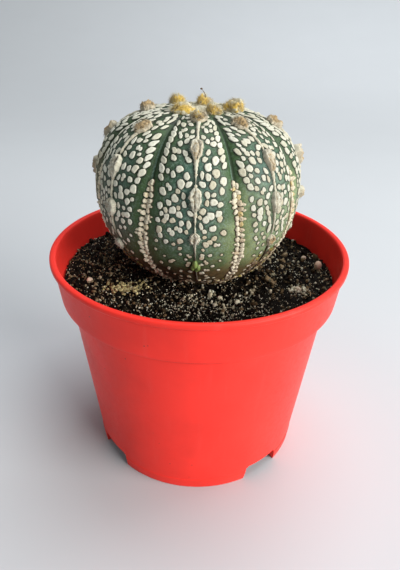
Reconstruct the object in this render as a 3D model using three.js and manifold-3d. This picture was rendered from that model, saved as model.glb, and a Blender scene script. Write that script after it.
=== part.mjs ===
// A star cactus of the "super kabuto" form, growing in gritty soil in a red plastic nursery pot.
// Millimetres, +Z up. The pot stands on z = 0 round the Z axis, and the front of the plant faces -Y.
// Azimuths are in degrees from the front (-Y) towards +X.
import * as THREE from "three";
import { mergeVertices } from "three/addons/utils/BufferGeometryUtils.js";
import Module from "manifold-3d";

// Clearance between neighbouring pieces
const GAP = 0.3;

// Pot: an 85 mm thin-walled nursery pot with a rim band, a lip and four foot notches
const RIM_RADIUS = 42.5;
const LIP_WIDTH = 1.7;
const LIP_HEIGHT = 1.6;
const POT_HEIGHT = 65.7;
const BAND_BOTTOM = 53.4;
const BAND_TOP_RADIUS = 41.6;
const BAND_BOTTOM_RADIUS = 40.5;
const WALL_TOP_RADIUS = 38;
const FOOT_RADIUS = 32.6;
const WALL = 1.1;
const FLOOR_UNDERSIDE = 2.5;
const FLOOR_TOP = 3.7;
const EDGE_BREAK = 0.3;
const FOOT_TAPER = 0.2;
const NOTCH_COUNT = 4;
const NOTCH_AZIMUTH = 38.5;
const NOTCH_HEIGHT = 5;
const NOTCH_HALF_ANGLE = 11.8;
const NOTCH_TOP_HALF_ANGLE = 10;
const NOTCH_INNER_RADIUS = 27;
const NOTCH_OUTER_RADIUS = 36;
const POT_SIDES = 48;
const BAND_INNER_RADIUS = BAND_BOTTOM_RADIUS - WALL;
const STEP_HEIGHT = BAND_BOTTOM + WALL;
const FLOOR_RADIUS = FOOT_RADIUS - WALL + FOOT_TAPER;

// Soil: its surface, a little higher round the plant, and the unevenness of its crumbs
const SOIL_LEVEL = 57;
const SOIL_MOUND = 1.1;
const CRUMB_HEIGHT = 0.75;
const CRUMB_WAVES = 0.25;
const CRUMB_CALM = 0.2;
const SOIL_SIDES = 40;
const SOIL_TOP_RINGS = 8;

// Plant body: a squat ball, flatter on top, whose axis bends a little towards +X at the base
const BODY_RADIUS = 27.5;
const WAIST_HEIGHT = 82.1;
const CROWN_RISE = 21.9;
const BASE_DROP = 25.5;
const CROWN_ROUNDNESS = 2.6;
const BASE_ROUNDNESS = 1.96;
const CROWN_DIMPLE = 1.6;
const DIMPLE_RADIUS = 8;
const AXIS_X = -0.9;
const AXIS_BEND = 1.4;
const NECK_HEIGHT = 58.9;

// Taproot below the neck, as radius and height
const ROOT = [[10.9, 57.4], [10.3, 54], [8.4, 47.5], [5.2, 41.5], [2, 38.5]];
const ROOT_TIP = 37.8;

// Ribs: crest and furrow azimuths, furrow k lying between rib k and rib k + 1
const CRESTS = [-0.5, 42.5, 87.5, 132, 175.5, 219, 264, 312];
const CRESTS_AT_CROWN = [0.5, 36.5, 83, 130, 170, 218, 264, 319];
const CREST_SHIFT_START = 8;
const CREST_SHIFT_END = 26;
const FURROWS_AT_CROWN = [19.5, 65, 110, 153.5, 197, 241.5, 288, 336];
const FURROWS_AT_BASE = [24.5, 66, 109, 154.5, 198, 242, 287, 329];
const FURROW_SHIFT_START = 26;
const FURROW_SHIFT_END = 56;
const FURROW_DEPTH = 2.3;
const FURROW_DEPTH_LOW = 1.3;
const RIB_COLUMNS = [-1, -0.84, -0.5, 0, 0.5, 0.84];
const RING_DISTANCES = [
  3, 6.5, 10, 13.5, 17, 20.5, 24, 27.5, 31, 34.5, 38, 41.5, 45, 49, 53, 57, 61.5, 66.5,
];

// Woolly areoles: number n sits on the rib 135 degrees (three ribs) on from number n - 1,
// and a fixed step further from the crown
const AREOLE_COUNT = 36;
const FIRST_AREOLE_RIB = 1;
const RIBS_PER_STEP = 3;
const FIRST_AREOLE = 5.3;
const AREOLE_STEP = 1.3;
const AREOLE_LENGTH = 4.2;
const AREOLE_WIDTH = 3.2;
const AREOLE_HEIGHT = 1.5;
// Swelling of the woolly line at an areole: place along its half length, share of the full swelling
const AREOLE_SHAPE = [[-1, 0], [-0.7, 0.7], [-0.1, 1], [0.6, 0.6], [1.25, 0]];
const LINE_WIDTH = 0.9;
const LINE_HEIGHT = 0.6;
const LINE_END = 62;
const LINE_STEP = 3.6;
const LINE_SHOULDER = 0.8;
const LINE_SHOULDER_HEIGHT = 0.65;
// Width and height of the golden tufts on the youngest areoles
const CROWN_TUFTS = [[4.8, 2.5], [4.8, 3], [6.4, 2.7], [6, 2.8], [5.4, 3]];
const TUFT_SIDES = 7;
const TUFT_LEAN = 1.4;
const CROWN_FELT_RADIUS = 8.4;
const CROWN_FELT_HEIGHT = 0.8;
const CROWN_FELT_SIDES = 16;
const CROWN_FELT_SHOULDER = 0.9;

// Corky double row that fills the lower half of each furrow
const CORK_START = 31;
const CORK_END = 66;
const CORK_STEP = 1.55;
const CORK_WIDTH = 2.7;
const CORK_HEIGHT = 0.85;
const CORK_DENT = 0.62;
const CORK_VALLEY = 0.55;
const CORK_CREST = 0.35;
const CORK_EDGE = 0.25;

// White flecks: low buttons, one to a patch of skin, between these distances from the crown
const FLECK_START = 9.9;
const FLECK_END = 67;
const FLECK_RADIUS = 1.25;
const FLECK_HEIGHT = 0.45;
const FLECK_SIDES = 5;
const FLECK_SHARE = 0.95;
const FLECK_TOP = 0.75;
const FLECK_ROOM = 0.8;
const FLECK_WANDER = 0.7;
const FLECK_MARGIN = 1.3;

const RIBS = CRESTS.length;
const FULL_TURN = 360;
const radians = THREE.MathUtils.degToRad;

// Seeded random numbers from 0 to 1
const makeRandom = (seed) => () => {
  seed = (seed + 0x6d2b79f5) | 0;
  let t = Math.imul(seed ^ (seed >>> 15), 1 | seed);
  t = (t + Math.imul(t ^ (t >>> 7), 61 | t)) ^ t;
  return ((t ^ (t >>> 14)) >>> 0) / 4294967296;
};

// A factor a little above or below 1, as nothing that grew is even
const uneven = (random) => 0.93 + 0.14 * random();

const wasm = await Module();
wasm.setup();

const toSolid = (geometry) => {
  const bare = geometry.clone();
  bare.deleteAttribute("normal");
  bare.deleteAttribute("uv");
  const merged = mergeVertices(bare, 1e-4);
  const vertProperties = new Float32Array(merged.attributes.position.array);
  const triVerts = new Uint32Array(merged.index.array);
  return new wasm.Manifold(new wasm.Mesh({ numProp: 3, vertProperties, triVerts }));
};

const toGeometry = (solid) => {
  const { vertProperties, triVerts } = solid.getMesh();
  const geometry = new THREE.BufferGeometry();
  geometry.setAttribute("position", new THREE.BufferAttribute(new Float32Array(vertProperties), 3));
  geometry.setIndex(new THREE.BufferAttribute(new Uint32Array(triVerts), 1));
  geometry.computeVertexNormals();
  return geometry;
};

const join = (geometries) => geometries.map(toSolid).reduce((whole, solid) => whole.add(solid));

const meshOf = (points, index) => {
  const geometry = new THREE.BufferGeometry();
  const coordinates = points.flatMap((point) => point.toArray());
  geometry.setAttribute("position", new THREE.Float32BufferAttribute(coordinates, 3));
  geometry.setIndex(index);
  return geometry;
};

// Closed skin over stacked rings of points, closed by a fan to a tip point at both ends.
// Rings run anticlockwise seen from the first tip's side.
function skinRings(rings, firstTip, lastTip) {
  const sides = rings[0].length;
  const points = [firstTip, ...rings.flat(), lastTip];
  const last = points.length - 1;
  const at = (ring, side) => 1 + ring * sides + (side % sides);
  const index = [];
  for (let side = 0; side < sides; side++) {
    index.push(0, at(0, side), at(0, side + 1));
    index.push(last, at(rings.length - 1, side + 1), at(rings.length - 1, side));
    for (let ring = 0; ring + 1 < rings.length; ring++) {
      index.push(at(ring, side), at(ring + 1, side), at(ring + 1, side + 1));
      index.push(at(ring, side), at(ring + 1, side + 1), at(ring, side + 1));
    }
  }
  return meshOf(points, index);
}

const material = (color, roughness) => new THREE.MeshStandardMaterial({ color, roughness, metalness: 0 });

const piece = (name, geometry, finish) => {
  const mesh = new THREE.Mesh(geometry, finish);
  mesh.name = name;
  return mesh;
};

// The plant's outline from the crown to the neck, with the distance along it from the crown
function traceMeridian() {
  const steps = 600;
  const outline = [];
  let distance = 0;
  for (let i = 0; i <= steps; i++) {
    const angle = Math.PI / 2 - (Math.PI * i) / steps;
    const upper = angle > 0;
    const roundness = upper ? CROWN_ROUNDNESS : BASE_ROUNDNESS;
    const radius = BODY_RADIUS * Math.max(0, Math.cos(angle)) ** (2 / roundness);
    const rise = Math.abs(Math.sin(angle)) ** (2 / roundness) * (upper ? CROWN_RISE : -BASE_DROP);
    const dimple = CROWN_DIMPLE * Math.exp(-((radius / DIMPLE_RADIUS) ** 2));
    const height = WAIST_HEIGHT + rise - (upper ? dimple : 0);
    const before = outline.at(-1);
    if (before) distance += Math.hypot(radius - before.radius, height - before.height);
    outline.push({ distance, radius, height });
    if (!upper && height < NECK_HEIGHT) break;
  }
  return outline;
}

const MERIDIAN = traceMeridian();
const NECK_DISTANCE = MERIDIAN.at(-1).distance;

function meridianAt(distance) {
  const next = Math.max(1, MERIDIAN.findIndex((point) => point.distance >= distance));
  const a = MERIDIAN[next - 1];
  const b = MERIDIAN[next];
  const share = (distance - a.distance) / (b.distance - a.distance);
  return {
    radius: THREE.MathUtils.lerp(a.radius, b.radius, share),
    height: THREE.MathUtils.lerp(a.height, b.height, share),
  };
}

const axisX = (height) => {
  const low = THREE.MathUtils.clamp((WAIST_HEIGHT - height) / BASE_DROP, 0, 1);
  return AXIS_X + AXIS_BEND * low ** 2;
};

const onCircle = (radius, azimuth, height, centreX = 0) =>
  new THREE.Vector3(
    centreX + radius * Math.sin(radians(azimuth)),
    -radius * Math.cos(radians(azimuth)),
    height,
  );

// Azimuth of furrow k, which wanders a little between the crown and the base
function furrowAzimuth(k, distance) {
  const turn = FULL_TURN * Math.floor(k / RIBS);
  const own = THREE.MathUtils.euclideanModulo(k, RIBS);
  const share = THREE.MathUtils.smoothstep(distance, FURROW_SHIFT_START, FURROW_SHIFT_END);
  return turn + THREE.MathUtils.lerp(FURROWS_AT_CROWN[own], FURROWS_AT_BASE[own], share);
}

// Azimuth of the crest of rib k, which leans a little on the crown
function crestAzimuth(k, distance) {
  const share = THREE.MathUtils.smoothstep(distance, CREST_SHIFT_START, CREST_SHIFT_END);
  return THREE.MathUtils.lerp(CRESTS_AT_CROWN[k], CRESTS[k], share);
}

// Furrow depth: none at the apex, deepest on the shoulder, shallow below the waist, none at the neck
function furrowDepth(distance) {
  const crown = THREE.MathUtils.smoothstep(distance, 2, 16);
  const low = THREE.MathUtils.smoothstep(distance, 28, 46);
  const neck = 1 - THREE.MathUtils.smoothstep(distance, 58, NECK_DISTANCE);
  return crown * neck * THREE.MathUtils.lerp(FURROW_DEPTH, FURROW_DEPTH_LOW, low);
}

// Across rib k, across runs from -1 to 1 with 0 on the crest
function azimuthOn(k, across, distance) {
  const edge = furrowAzimuth(across < 0 ? k - 1 : k, distance);
  return THREE.MathUtils.lerp(crestAzimuth(k, distance), edge, Math.abs(across));
}

function skinPoint(k, across, distance) {
  const { radius, height } = meridianAt(distance);
  const dip = furrowDepth(distance) * (0.4 * across ** 2 + 0.6 * across ** 6);
  return onCircle(radius - dip, azimuthOn(k, across, distance), height, axisX(height));
}

// Width in millimetres from the crest of a rib to its furrow, on the side of across
const halfWidth = (k, distance, across) =>
  meridianAt(distance).radius *
  radians(Math.abs(azimuthOn(k, Math.sign(across), distance) - crestAzimuth(k, distance)));

// Position, outward normal, and the directions across the rib and down the plant
function skinFrame(k, across, distance) {
  const reach = 0.05;
  const origin = skinPoint(k, across, distance);
  const above = skinPoint(k, across, distance - reach);
  const down = skinPoint(k, across, distance + reach).sub(above).normalize();
  const { height } = meridianAt(distance);
  const outward = origin.clone().sub(new THREE.Vector3(axisX(height), 0, origin.z));
  const sideways = new THREE.Vector3(0, 0, 1).cross(outward).normalize();
  const normal = down.clone().cross(sideways).normalize();
  return { origin, normal, down, sideways };
}

const raised = ({ origin, normal, down, sideways }, x, y, lift) =>
  origin.clone().addScaledVector(sideways, x).addScaledVector(down, y).addScaledVector(normal, lift);

// A domed tuft of wool on the skin, uneven at its edge and drawn out towards the crown
function woolTuft(frame, width, height, random) {
  const levels = [[0.84, 0.62], [1, 0]];
  const rings = levels.map(([size, rise]) =>
    Array.from({ length: TUFT_SIDES }, (_, side) => {
      const angle = (2 * Math.PI * side) / TUFT_SIDES;
      const reach = (width * size * uneven(random)) / 2;
      const drawn = Math.cos(angle) < 0 ? TUFT_LEAN : 1;
      return raised(frame, Math.sin(angle) * reach, Math.cos(angle) * reach * drawn, GAP + rise * height);
    }),
  );
  return skinRings(rings, raised(frame, 0, 0, GAP + height), raised(frame, 0, 0, GAP));
}

// A ridge of the given cross-section swept along stations, closed flat at both ends
function sweep(sections) {
  const centre = (points) =>
    points.reduce((sum, point) => sum.add(point), new THREE.Vector3()).divideScalar(points.length);
  return skinRings(sections, centre(sections[0]), centre(sections.at(-1)));
}

const distanceOfAreole = (n) => FIRST_AREOLE + AREOLE_STEP * n;
const ribOfAreole = (n) => (FIRST_AREOLE_RIB + RIBS_PER_STEP * n) % RIBS;
const areoleNumbers = Array.from({ length: AREOLE_COUNT }, (_, n) => n);

function potOutline() {
  const bandTop = POT_HEIGHT - LIP_HEIGHT;
  const lipInner = RIM_RADIUS - LIP_WIDTH;
  const footInner = FOOT_RADIUS - WALL - FOOT_TAPER;
  return [
    [0, FLOOR_UNDERSIDE],
    [footInner - FOOT_TAPER, FLOOR_UNDERSIDE],
    [footInner, 0],
    [FOOT_RADIUS, 0],
    [WALL_TOP_RADIUS, BAND_BOTTOM],
    [BAND_BOTTOM_RADIUS - EDGE_BREAK, BAND_BOTTOM],
    [BAND_BOTTOM_RADIUS, BAND_BOTTOM + EDGE_BREAK],
    [BAND_TOP_RADIUS, bandTop],
    [RIM_RADIUS, bandTop + EDGE_BREAK],
    [RIM_RADIUS, POT_HEIGHT - EDGE_BREAK],
    [RIM_RADIUS - EDGE_BREAK, POT_HEIGHT],
    [lipInner + EDGE_BREAK, POT_HEIGHT],
    [lipInner, POT_HEIGHT - EDGE_BREAK],
    [BAND_TOP_RADIUS - WALL, bandTop - EDGE_BREAK],
    [BAND_INNER_RADIUS, STEP_HEIGHT],
    [WALL_TOP_RADIUS - WALL, STEP_HEIGHT - EDGE_BREAK],
    [FLOOR_RADIUS, FLOOR_TOP],
    [0, FLOOR_TOP],
  ];
}

// A wedge across the pot's foot, narrower at its top, that cuts one drain notch
function notchCutter(azimuth) {
  const below = -1;
  const corners = (height, halfAngle) => [
    onCircle(NOTCH_INNER_RADIUS, azimuth - halfAngle, height),
    onCircle(NOTCH_OUTER_RADIUS, azimuth - halfAngle, height),
    onCircle(NOTCH_OUTER_RADIUS, azimuth + halfAngle, height),
    onCircle(NOTCH_INNER_RADIUS, azimuth + halfAngle, height),
  ];
  return sweep([corners(NOTCH_HEIGHT, NOTCH_TOP_HALF_ANGLE), corners(below, NOTCH_HALF_ANGLE)]);
}

function makePot() {
  const outline = potOutline().map(([radius, height]) => new THREE.Vector2(radius, height));
  const shell = new THREE.LatheGeometry(outline, POT_SIDES).rotateX(Math.PI / 2);
  let solid = toSolid(shell);
  for (let i = 0; i < NOTCH_COUNT; i++) {
    const azimuth = NOTCH_AZIMUTH + (i * FULL_TURN) / NOTCH_COUNT;
    solid = solid.subtract(toSolid(notchCutter(azimuth)));
  }
  return piece("pot", toGeometry(solid), material("#e23a2c", 0.38));
}

// Soil: level at the wall and higher round the plant, with crumbs as smooth waves and grains
function makeSoil() {
  const random = makeRandom(11);
  const rootX = axisX(NECK_HEIGHT);
  const holeRadius = ROOT[0][0] + GAP;
  const wallRadius = BAND_INNER_RADIUS - GAP;
  const ring = (radius, heightAt, centreX) =>
    Array.from({ length: SOIL_SIDES }, (_, side) => {
      const azimuth = (side * FULL_TURN) / SOIL_SIDES;
      return onCircle(radius, azimuth, heightAt(azimuth), centreX);
    });
  const surface = (share) => {
    const radius = THREE.MathUtils.lerp(holeRadius, wallRadius, share);
    const crumb = CRUMB_HEIGHT * (share === 0 ? CRUMB_CALM : 1);
    const height = (azimuth) => {
      const across = Math.sin(radians(3 * azimuth) + radius / 2);
      const along = Math.sin(radians(5 * azimuth) - radius / 3);
      const grain = CRUMB_WAVES * (across + along) + random() - 0.5;
      return SOIL_LEVEL + SOIL_MOUND * (1 - share) ** 2 + crumb * grain;
    };
    return ring(radius, height, rootX * (1 - share));
  };
  const level = (height) => () => height;
  const hole = ROOT.map(([radius, height]) => ring(radius + GAP, level(height - GAP), rootX)).reverse();
  const top = Array.from({ length: SOIL_TOP_RINGS + 1 }, (_, i) => surface(i / SOIL_TOP_RINGS));
  const side = [
    ring(wallRadius, level(STEP_HEIGHT + GAP), 0),
    ring(WALL_TOP_RADIUS - WALL - GAP, level(STEP_HEIGHT), 0),
    ring(FLOOR_RADIUS - GAP, level(FLOOR_TOP + GAP), 0),
  ];
  const holeBottom = new THREE.Vector3(rootX, 0, ROOT_TIP - 2 * GAP);
  const bottom = new THREE.Vector3(0, 0, FLOOR_TOP + GAP);
  const geometry = skinRings([...hole.slice(0, -1), ...top, ...side], holeBottom, bottom);
  return piece("soil", geometry, material("#2b211b", 0.95));
}

// True where a fleck would touch an areole, the line along the crest or the corky double row
function isTaken(k, across, distance, size) {
  const width = halfWidth(k, distance, across);
  const fromCrest = Math.abs(across) * width;
  const clear = size + GAP;
  if (fromCrest < LINE_WIDTH / 2 + clear) return true;
  if (distance > CORK_START - clear && width - fromCrest < CORK_WIDTH / 2 + clear) return true;
  return areoleNumbers.some((n) => {
    const along = distanceOfAreole(n) - distance;
    return ribOfAreole(n) === k && Math.hypot(fromCrest, along) < AREOLE_WIDTH / 2 + clear;
  });
}

// The ribbed body down to the tip of its taproot. Its skin is a grid of patches, and a fleck is a
// low button raised inside a patch.
function makeBody() {
  const random = makeRandom(7);
  const points = [];
  const index = [];
  const addPoint = (point) => points.push(point) - 1;
  const around = CRESTS.flatMap((_, k) => RIB_COLUMNS.map((across) => ({ k, across })));
  const columns = around.length;
  const rootX = axisX(NECK_HEIGHT);

  const rings = RING_DISTANCES.map((distance) =>
    around.map(({ k, across }) => addPoint(skinPoint(k, across, distance))),
  );
  for (const [radius, height] of [[meridianAt(NECK_DISTANCE).radius, NECK_HEIGHT], ...ROOT]) {
    rings.push(
      around.map(({ k, across }) => {
        const azimuth = azimuthOn(k, across, NECK_DISTANCE);
        return addPoint(onCircle(radius, azimuth, height, rootX));
      }),
    );
  }
  const crown = addPoint(new THREE.Vector3(axisX(WAIST_HEIGHT), 0, MERIDIAN[0].height));
  const rootTip = addPoint(new THREE.Vector3(rootX, 0, ROOT_TIP));

  // Patch corners go round anticlockwise seen from outside: top left, bottom left, bottom right, top right
  function addFleck(k, left, right, top, bottom, corners) {
    const middle = (left + right) / 2;
    const width = halfWidth(k, (top + bottom) / 2, middle);
    const room = (width * (right - left)) / 2;
    const size = Math.min(FLECK_RADIUS * uneven(random), room * FLECK_ROOM);
    const wander = (reach) => (2 * random() - 1) * reach;
    const across = middle + wander(FLECK_WANDER * (room - size)) / width;
    const distance = (top + bottom) / 2 + wander((bottom - top) / 2 - FLECK_MARGIN * size);
    if (random() > FLECK_SHARE || isTaken(k, across, distance, size)) return false;
    const frame = skinFrame(k, across, distance);
    const ring = (scale, make) =>
      Array.from({ length: FLECK_SIDES }, (_, side) => {
        const angle = (2 * Math.PI * side) / FLECK_SIDES;
        return make(Math.sin(angle) * size * scale, Math.cos(angle) * size * scale);
      });
    const foot = ring(1, (x, y) => new THREE.Vector2(across * width + x, distance + y));
    const footIds = foot.map(({ x, y }) => addPoint(skinPoint(k, x / width, y)));
    const topIds = ring(FLECK_TOP, (x, y) => addPoint(raised(frame, x, y, FLECK_HEIGHT)));
    const outline = [[left, top], [left, bottom], [right, bottom], [right, top]];
    const contour = outline.map(([x, y]) => new THREE.Vector2(x * width, y));
    const ids = [...corners, ...footIds];
    for (const [a, b, c] of THREE.ShapeUtils.triangulateShape(contour, [foot])) {
      index.push(ids[c], ids[b], ids[a]);
    }
    for (let side = 0; side < FLECK_SIDES; side++) {
      const next = (side + 1) % FLECK_SIDES;
      index.push(footIds[side], footIds[next], topIds[next], footIds[side], topIds[next], topIds[side]);
      if (side > 1) index.push(topIds[0], topIds[side - 1], topIds[side]);
    }
    return true;
  }

  for (let column = 0; column < columns; column++) {
    const next = (column + 1) % columns;
    const { k, across: left } = around[column];
    const right = column % RIB_COLUMNS.length === RIB_COLUMNS.length - 1 ? 1 : around[next].across;
    const wide = Math.max(Math.abs(left), Math.abs(right)) < 1;
    index.push(crown, rings[0][column], rings[0][next]);
    index.push(rootTip, rings.at(-1)[next], rings.at(-1)[column]);
    for (let ring = 0; ring + 1 < rings.length; ring++) {
      const top = RING_DISTANCES[ring];
      const bottom = RING_DISTANCES[ring + 1];
      const [above, below] = [rings[ring], rings[ring + 1]];
      const corners = [above[column], below[column], below[next], above[next]];
      const inFlecks = wide && top > FLECK_START && bottom < FLECK_END;
      if (inFlecks && addFleck(k, left, right, top, bottom, corners)) continue;
      const [topLeft, bottomLeft, bottomRight, topRight] = corners;
      index.push(topLeft, bottomLeft, bottomRight, topLeft, bottomRight, topRight);
    }
  }
  return piece("cactus_body", meshOf(points, index), material("#4f6b58", 0.7));
}

// The woolly line of one rib: a thin felt ridge along the crest, swelling into a pad at each areole
function makeAreoleLine(k) {
  const random = makeRandom(30 + k);
  const numbers = areoleNumbers.filter((n) => n >= CROWN_TUFTS.length && ribOfAreole(n) === k);
  const stations = numbers.flatMap((n) =>
    AREOLE_SHAPE.map(([place, swelling]) => [distanceOfAreole(n) + (place * AREOLE_LENGTH) / 2, swelling]),
  );
  for (let i = 1; i <= stations.length; i++) {
    const from = stations[i - 1][0];
    const to = i < stations.length ? stations[i][0] : LINE_END;
    if (to - from > LINE_STEP) stations.splice(i, 0, [Math.min(from + LINE_STEP, (from + to) / 2), 0]);
  }
  stations.push([LINE_END, 0]);
  const sections = stations.map(([distance, swelling]) => {
    const frame = skinFrame(k, 0, distance);
    const ragged = uneven(random);
    const half = (THREE.MathUtils.lerp(LINE_WIDTH, AREOLE_WIDTH, swelling) * ragged) / 2;
    const height = THREE.MathUtils.lerp(LINE_HEIGHT, AREOLE_HEIGHT, swelling) * ragged;
    const shoulder = GAP + height * LINE_SHOULDER_HEIGHT;
    return [
      raised(frame, -half, 0, GAP),
      raised(frame, -half * LINE_SHOULDER, 0, shoulder),
      raised(frame, 0, 0, GAP + height),
      raised(frame, half * LINE_SHOULDER, 0, shoulder),
      raised(frame, half, 0, GAP),
    ];
  });
  return piece(`areole_line_${k + 1}`, sweep(sections), material("#c8b79a", 0.95));
}

// The crown: yellow tufts of the youngest areoles, held together by the felt between them
function makeCrownWool() {
  const random = makeRandom(5);
  const feltRing = (distance, lift) =>
    Array.from({ length: CROWN_FELT_SIDES }, (_, side) => {
      const { radius, height } = meridianAt(distance);
      return onCircle(radius, (side * FULL_TURN) / CROWN_FELT_SIDES, height + lift, AXIS_X);
    });
  const top = GAP + CROWN_FELT_HEIGHT;
  const centre = (lift) => new THREE.Vector3(AXIS_X, 0, MERIDIAN[0].height + lift);
  const felt = skinRings(
    [
      feltRing(CROWN_FELT_RADIUS / 2, top),
      feltRing(CROWN_FELT_RADIUS * CROWN_FELT_SHOULDER, top * CROWN_FELT_SHOULDER),
      feltRing(CROWN_FELT_RADIUS, GAP),
      feltRing(CROWN_FELT_RADIUS / 2, GAP),
    ],
    centre(top),
    centre(GAP),
  );
  const tufts = CROWN_TUFTS.map(([width, height], n) => {
    const frame = skinFrame(ribOfAreole(n), 0, distanceOfAreole(n));
    return woolTuft(frame, width, height, random);
  });
  return piece("crown_wool", toGeometry(join([felt, ...tufts])), material("#d9b45a", 0.95));
}

// The corky double row in furrow k: two rows of merged flecks with a thin valley between them
function makeCorkRow(k) {
  const random = makeRandom(60 + k);
  const steps = Math.round((CORK_END - CORK_START) / CORK_STEP);
  const nextRib = (k + 1) % RIBS;
  const sections = Array.from({ length: steps + 1 }, (_, i) => {
    const distance = THREE.MathUtils.lerp(CORK_START, CORK_END, i / steps);
    const taper = i === 0 || i === steps ? 0.5 : 1;
    const bead = (turn) => (i % 2 === turn ? 1 : CORK_DENT) * uneven(random);
    const edge = (CORK_WIDTH / 2) * taper;
    const left = skinFrame(k, 1 - edge / halfWidth(k, distance, 1), distance);
    const right = skinFrame(nextRib, -1 + edge / halfWidth(nextRib, distance, -1), distance);
    const middle = skinFrame(k, 1, distance);
    const leftBead = bead(0);
    const rightBead = bead(1);
    return [
      raised(middle, 0, 0, GAP),
      raised(left, CORK_EDGE * (1 - leftBead), 0, GAP),
      raised(left, CORK_CREST * edge, 0, GAP + CORK_HEIGHT * leftBead),
      raised(middle, 0, 0, GAP + CORK_HEIGHT * CORK_VALLEY),
      raised(right, -CORK_CREST * edge, 0, GAP + CORK_HEIGHT * rightBead),
      raised(right, CORK_EDGE * (rightBead - 1), 0, GAP),
    ];
  });
  return piece(`cork_row_${k + 1}`, sweep(sections), material("#c9b08a", 0.9));
}

const plant = new THREE.Group();
plant.add(makeBody(), makeCrownWool());
for (let k = 0; k < RIBS; k++) plant.add(makeAreoleLine(k), makeCorkRow(k));

const group = new THREE.Group();
group.add(makePot(), makeSoil(), plant);

export default group;
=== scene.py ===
"""A star cactus of the super kabuto form, growing in gritty soil in a red plastic nursery pot."""

import math

import bmesh
import bpy
import numpy as np
from bpy.props import FloatProperty, FloatVectorProperty, IntProperty, PointerProperty
from mathutils import Matrix, Vector, kdtree, noise


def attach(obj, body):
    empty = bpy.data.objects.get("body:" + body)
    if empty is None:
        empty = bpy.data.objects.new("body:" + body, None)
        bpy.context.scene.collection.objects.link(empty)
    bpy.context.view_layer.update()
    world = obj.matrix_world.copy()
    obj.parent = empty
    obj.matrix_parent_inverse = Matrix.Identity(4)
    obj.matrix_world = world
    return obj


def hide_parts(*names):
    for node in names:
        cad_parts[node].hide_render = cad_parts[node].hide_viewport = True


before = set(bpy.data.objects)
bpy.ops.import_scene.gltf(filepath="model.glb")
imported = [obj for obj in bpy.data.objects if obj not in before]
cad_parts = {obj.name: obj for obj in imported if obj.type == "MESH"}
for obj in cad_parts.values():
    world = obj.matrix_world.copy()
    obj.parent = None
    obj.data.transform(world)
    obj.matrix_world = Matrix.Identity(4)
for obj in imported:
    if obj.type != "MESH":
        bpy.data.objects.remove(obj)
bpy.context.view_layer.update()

bl_info = {
    "name": "Potted star cactus",
    "version": (1, 0, 0),
    "blender": (4, 5, 0),
    "location": "View3D > Sidebar > Star cactus",
    "description": "Dresses the packed model of a potted star cactus",
    "category": "Object",
}

# Sizes below are in millimetres
MM = 0.001
# One seed for the random draws of each kind of detail
SEEDS = {"soil": 21, "flecks": 19, "outlines": 77, "areoles": 300, "crown": 50, "cork": 600, "scraps": 90}

# Ribs: crest and furrow azimuths in degrees from the front (-Y) towards +X.
# Furrow k lies between rib k and rib k + 1.
CRESTS = np.array([-0.5, 42.5, 87.5, 132, 175.5, 219, 264, 312])
CRESTS_AT_CROWN = np.array([0.5, 36.5, 83, 130, 170, 218, 264, 319])
FURROWS_AT_CROWN = np.array([19.5, 65, 110, 153.5, 197, 241.5, 288, 336])
FURROWS_AT_BASE = np.array([24.5, 66, 109, 154.5, 198, 242, 287, 329])
RIBS = len(CRESTS)

# Body: its axis lies a little to the left and bends back at the base
AXIS_X = -0.9
AXIS_BEND = 1.4
CROWN_ROUNDNESS = 2.6
BASE_ROUNDNESS = 1.96
CROWN_DIMPLE = 1.6
DIMPLE_RADIUS = 8
NECK_HEIGHT = 58.9
# Radius and height down the taproot
TAPROOT = [(10.9, 57.4), (10.3, 54), (8.4, 47.5), (5.2, 41.5), (2, 38.5)]
TAPROOT_TIP = 37.8
# Distance from the crown at which the value "along" that a mesh carries is 1
SKIN_LENGTH = 70
SKIN_COLUMNS = 42
SKIN_RINGS = 186

# Areoles: number n sits three ribs on from number n - 1 and a fixed step further from the crown
AREOLE_COUNT = 36
FIRST_AREOLE = 5.3
AREOLE_STEP = 1.3
# How far some areoles sit beyond or short of their place
AREOLE_SHIFTS = {0: 1.1, 2: -1.8, 4: -0.9, 7: -1.2, 13: 0.3, 16: 0.5, 18: 0.5, 21: 1.2, 29: 0.3, 32: -0.4}
# How brown some of the pads are, from 0 to 1; the others fade from brown to pale down the ribs
BROWN_PADS = {
    7: 0.9, 8: 1, 10: 1, 11: 0.9, 13: 0.36, 15: 0.8, 16: 0.42, 19: 0.5, 21: 0.1, 23: 0.75, 26: 0, 27: 0.5,
    32: 0.8,
}
# Width and height of the pads that grew broader or stand out further than the others
BROAD_PADS = {
    7: (1.2, 1.15), 11: (1.1, 1.2), 15: (1.1, 1.2), 18: (1.25, 1.05), 19: (1.15, 1.4),
    23: (1.15, 1.35), 26: (1.45, 1.15), 27: (1.15, 1.35),
}
PAD_ROWS = 26
PAD_COLUMNS = 19
# Place across the felt line and share of its height
LINE_SECTION = [(-1, -0.3), (-0.92, 0.35), (-0.55, 0.85), (0, 1), (0.55, 0.85), (0.92, 0.35), (1, -0.3)]
LINE_END = 62
HAIR_SIDES = 3
HAIR_STEPS = np.array([0.0, 0.55])

# Crown
# Width and height of the golden tufts on the youngest areoles, and of the one on the young pad in front
CROWN_TUFTS = [(4.7, 2.6), (4.3, 3.1), (6.8, 2.7), (6, 2.9), (5.2, 3)]
FRONT_TUFT = (3.9, 1.9)
TUFT_LOBES = 5
FELT_SIDES = 96
FELT_RINGS = 16
FELT_HAIRS = 1300
# Direction of the light whose side of the tufts is painted cream as light
PAINTED_LIGHT_SIDE = np.array([0.25, 0.50, 0.83])

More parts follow.
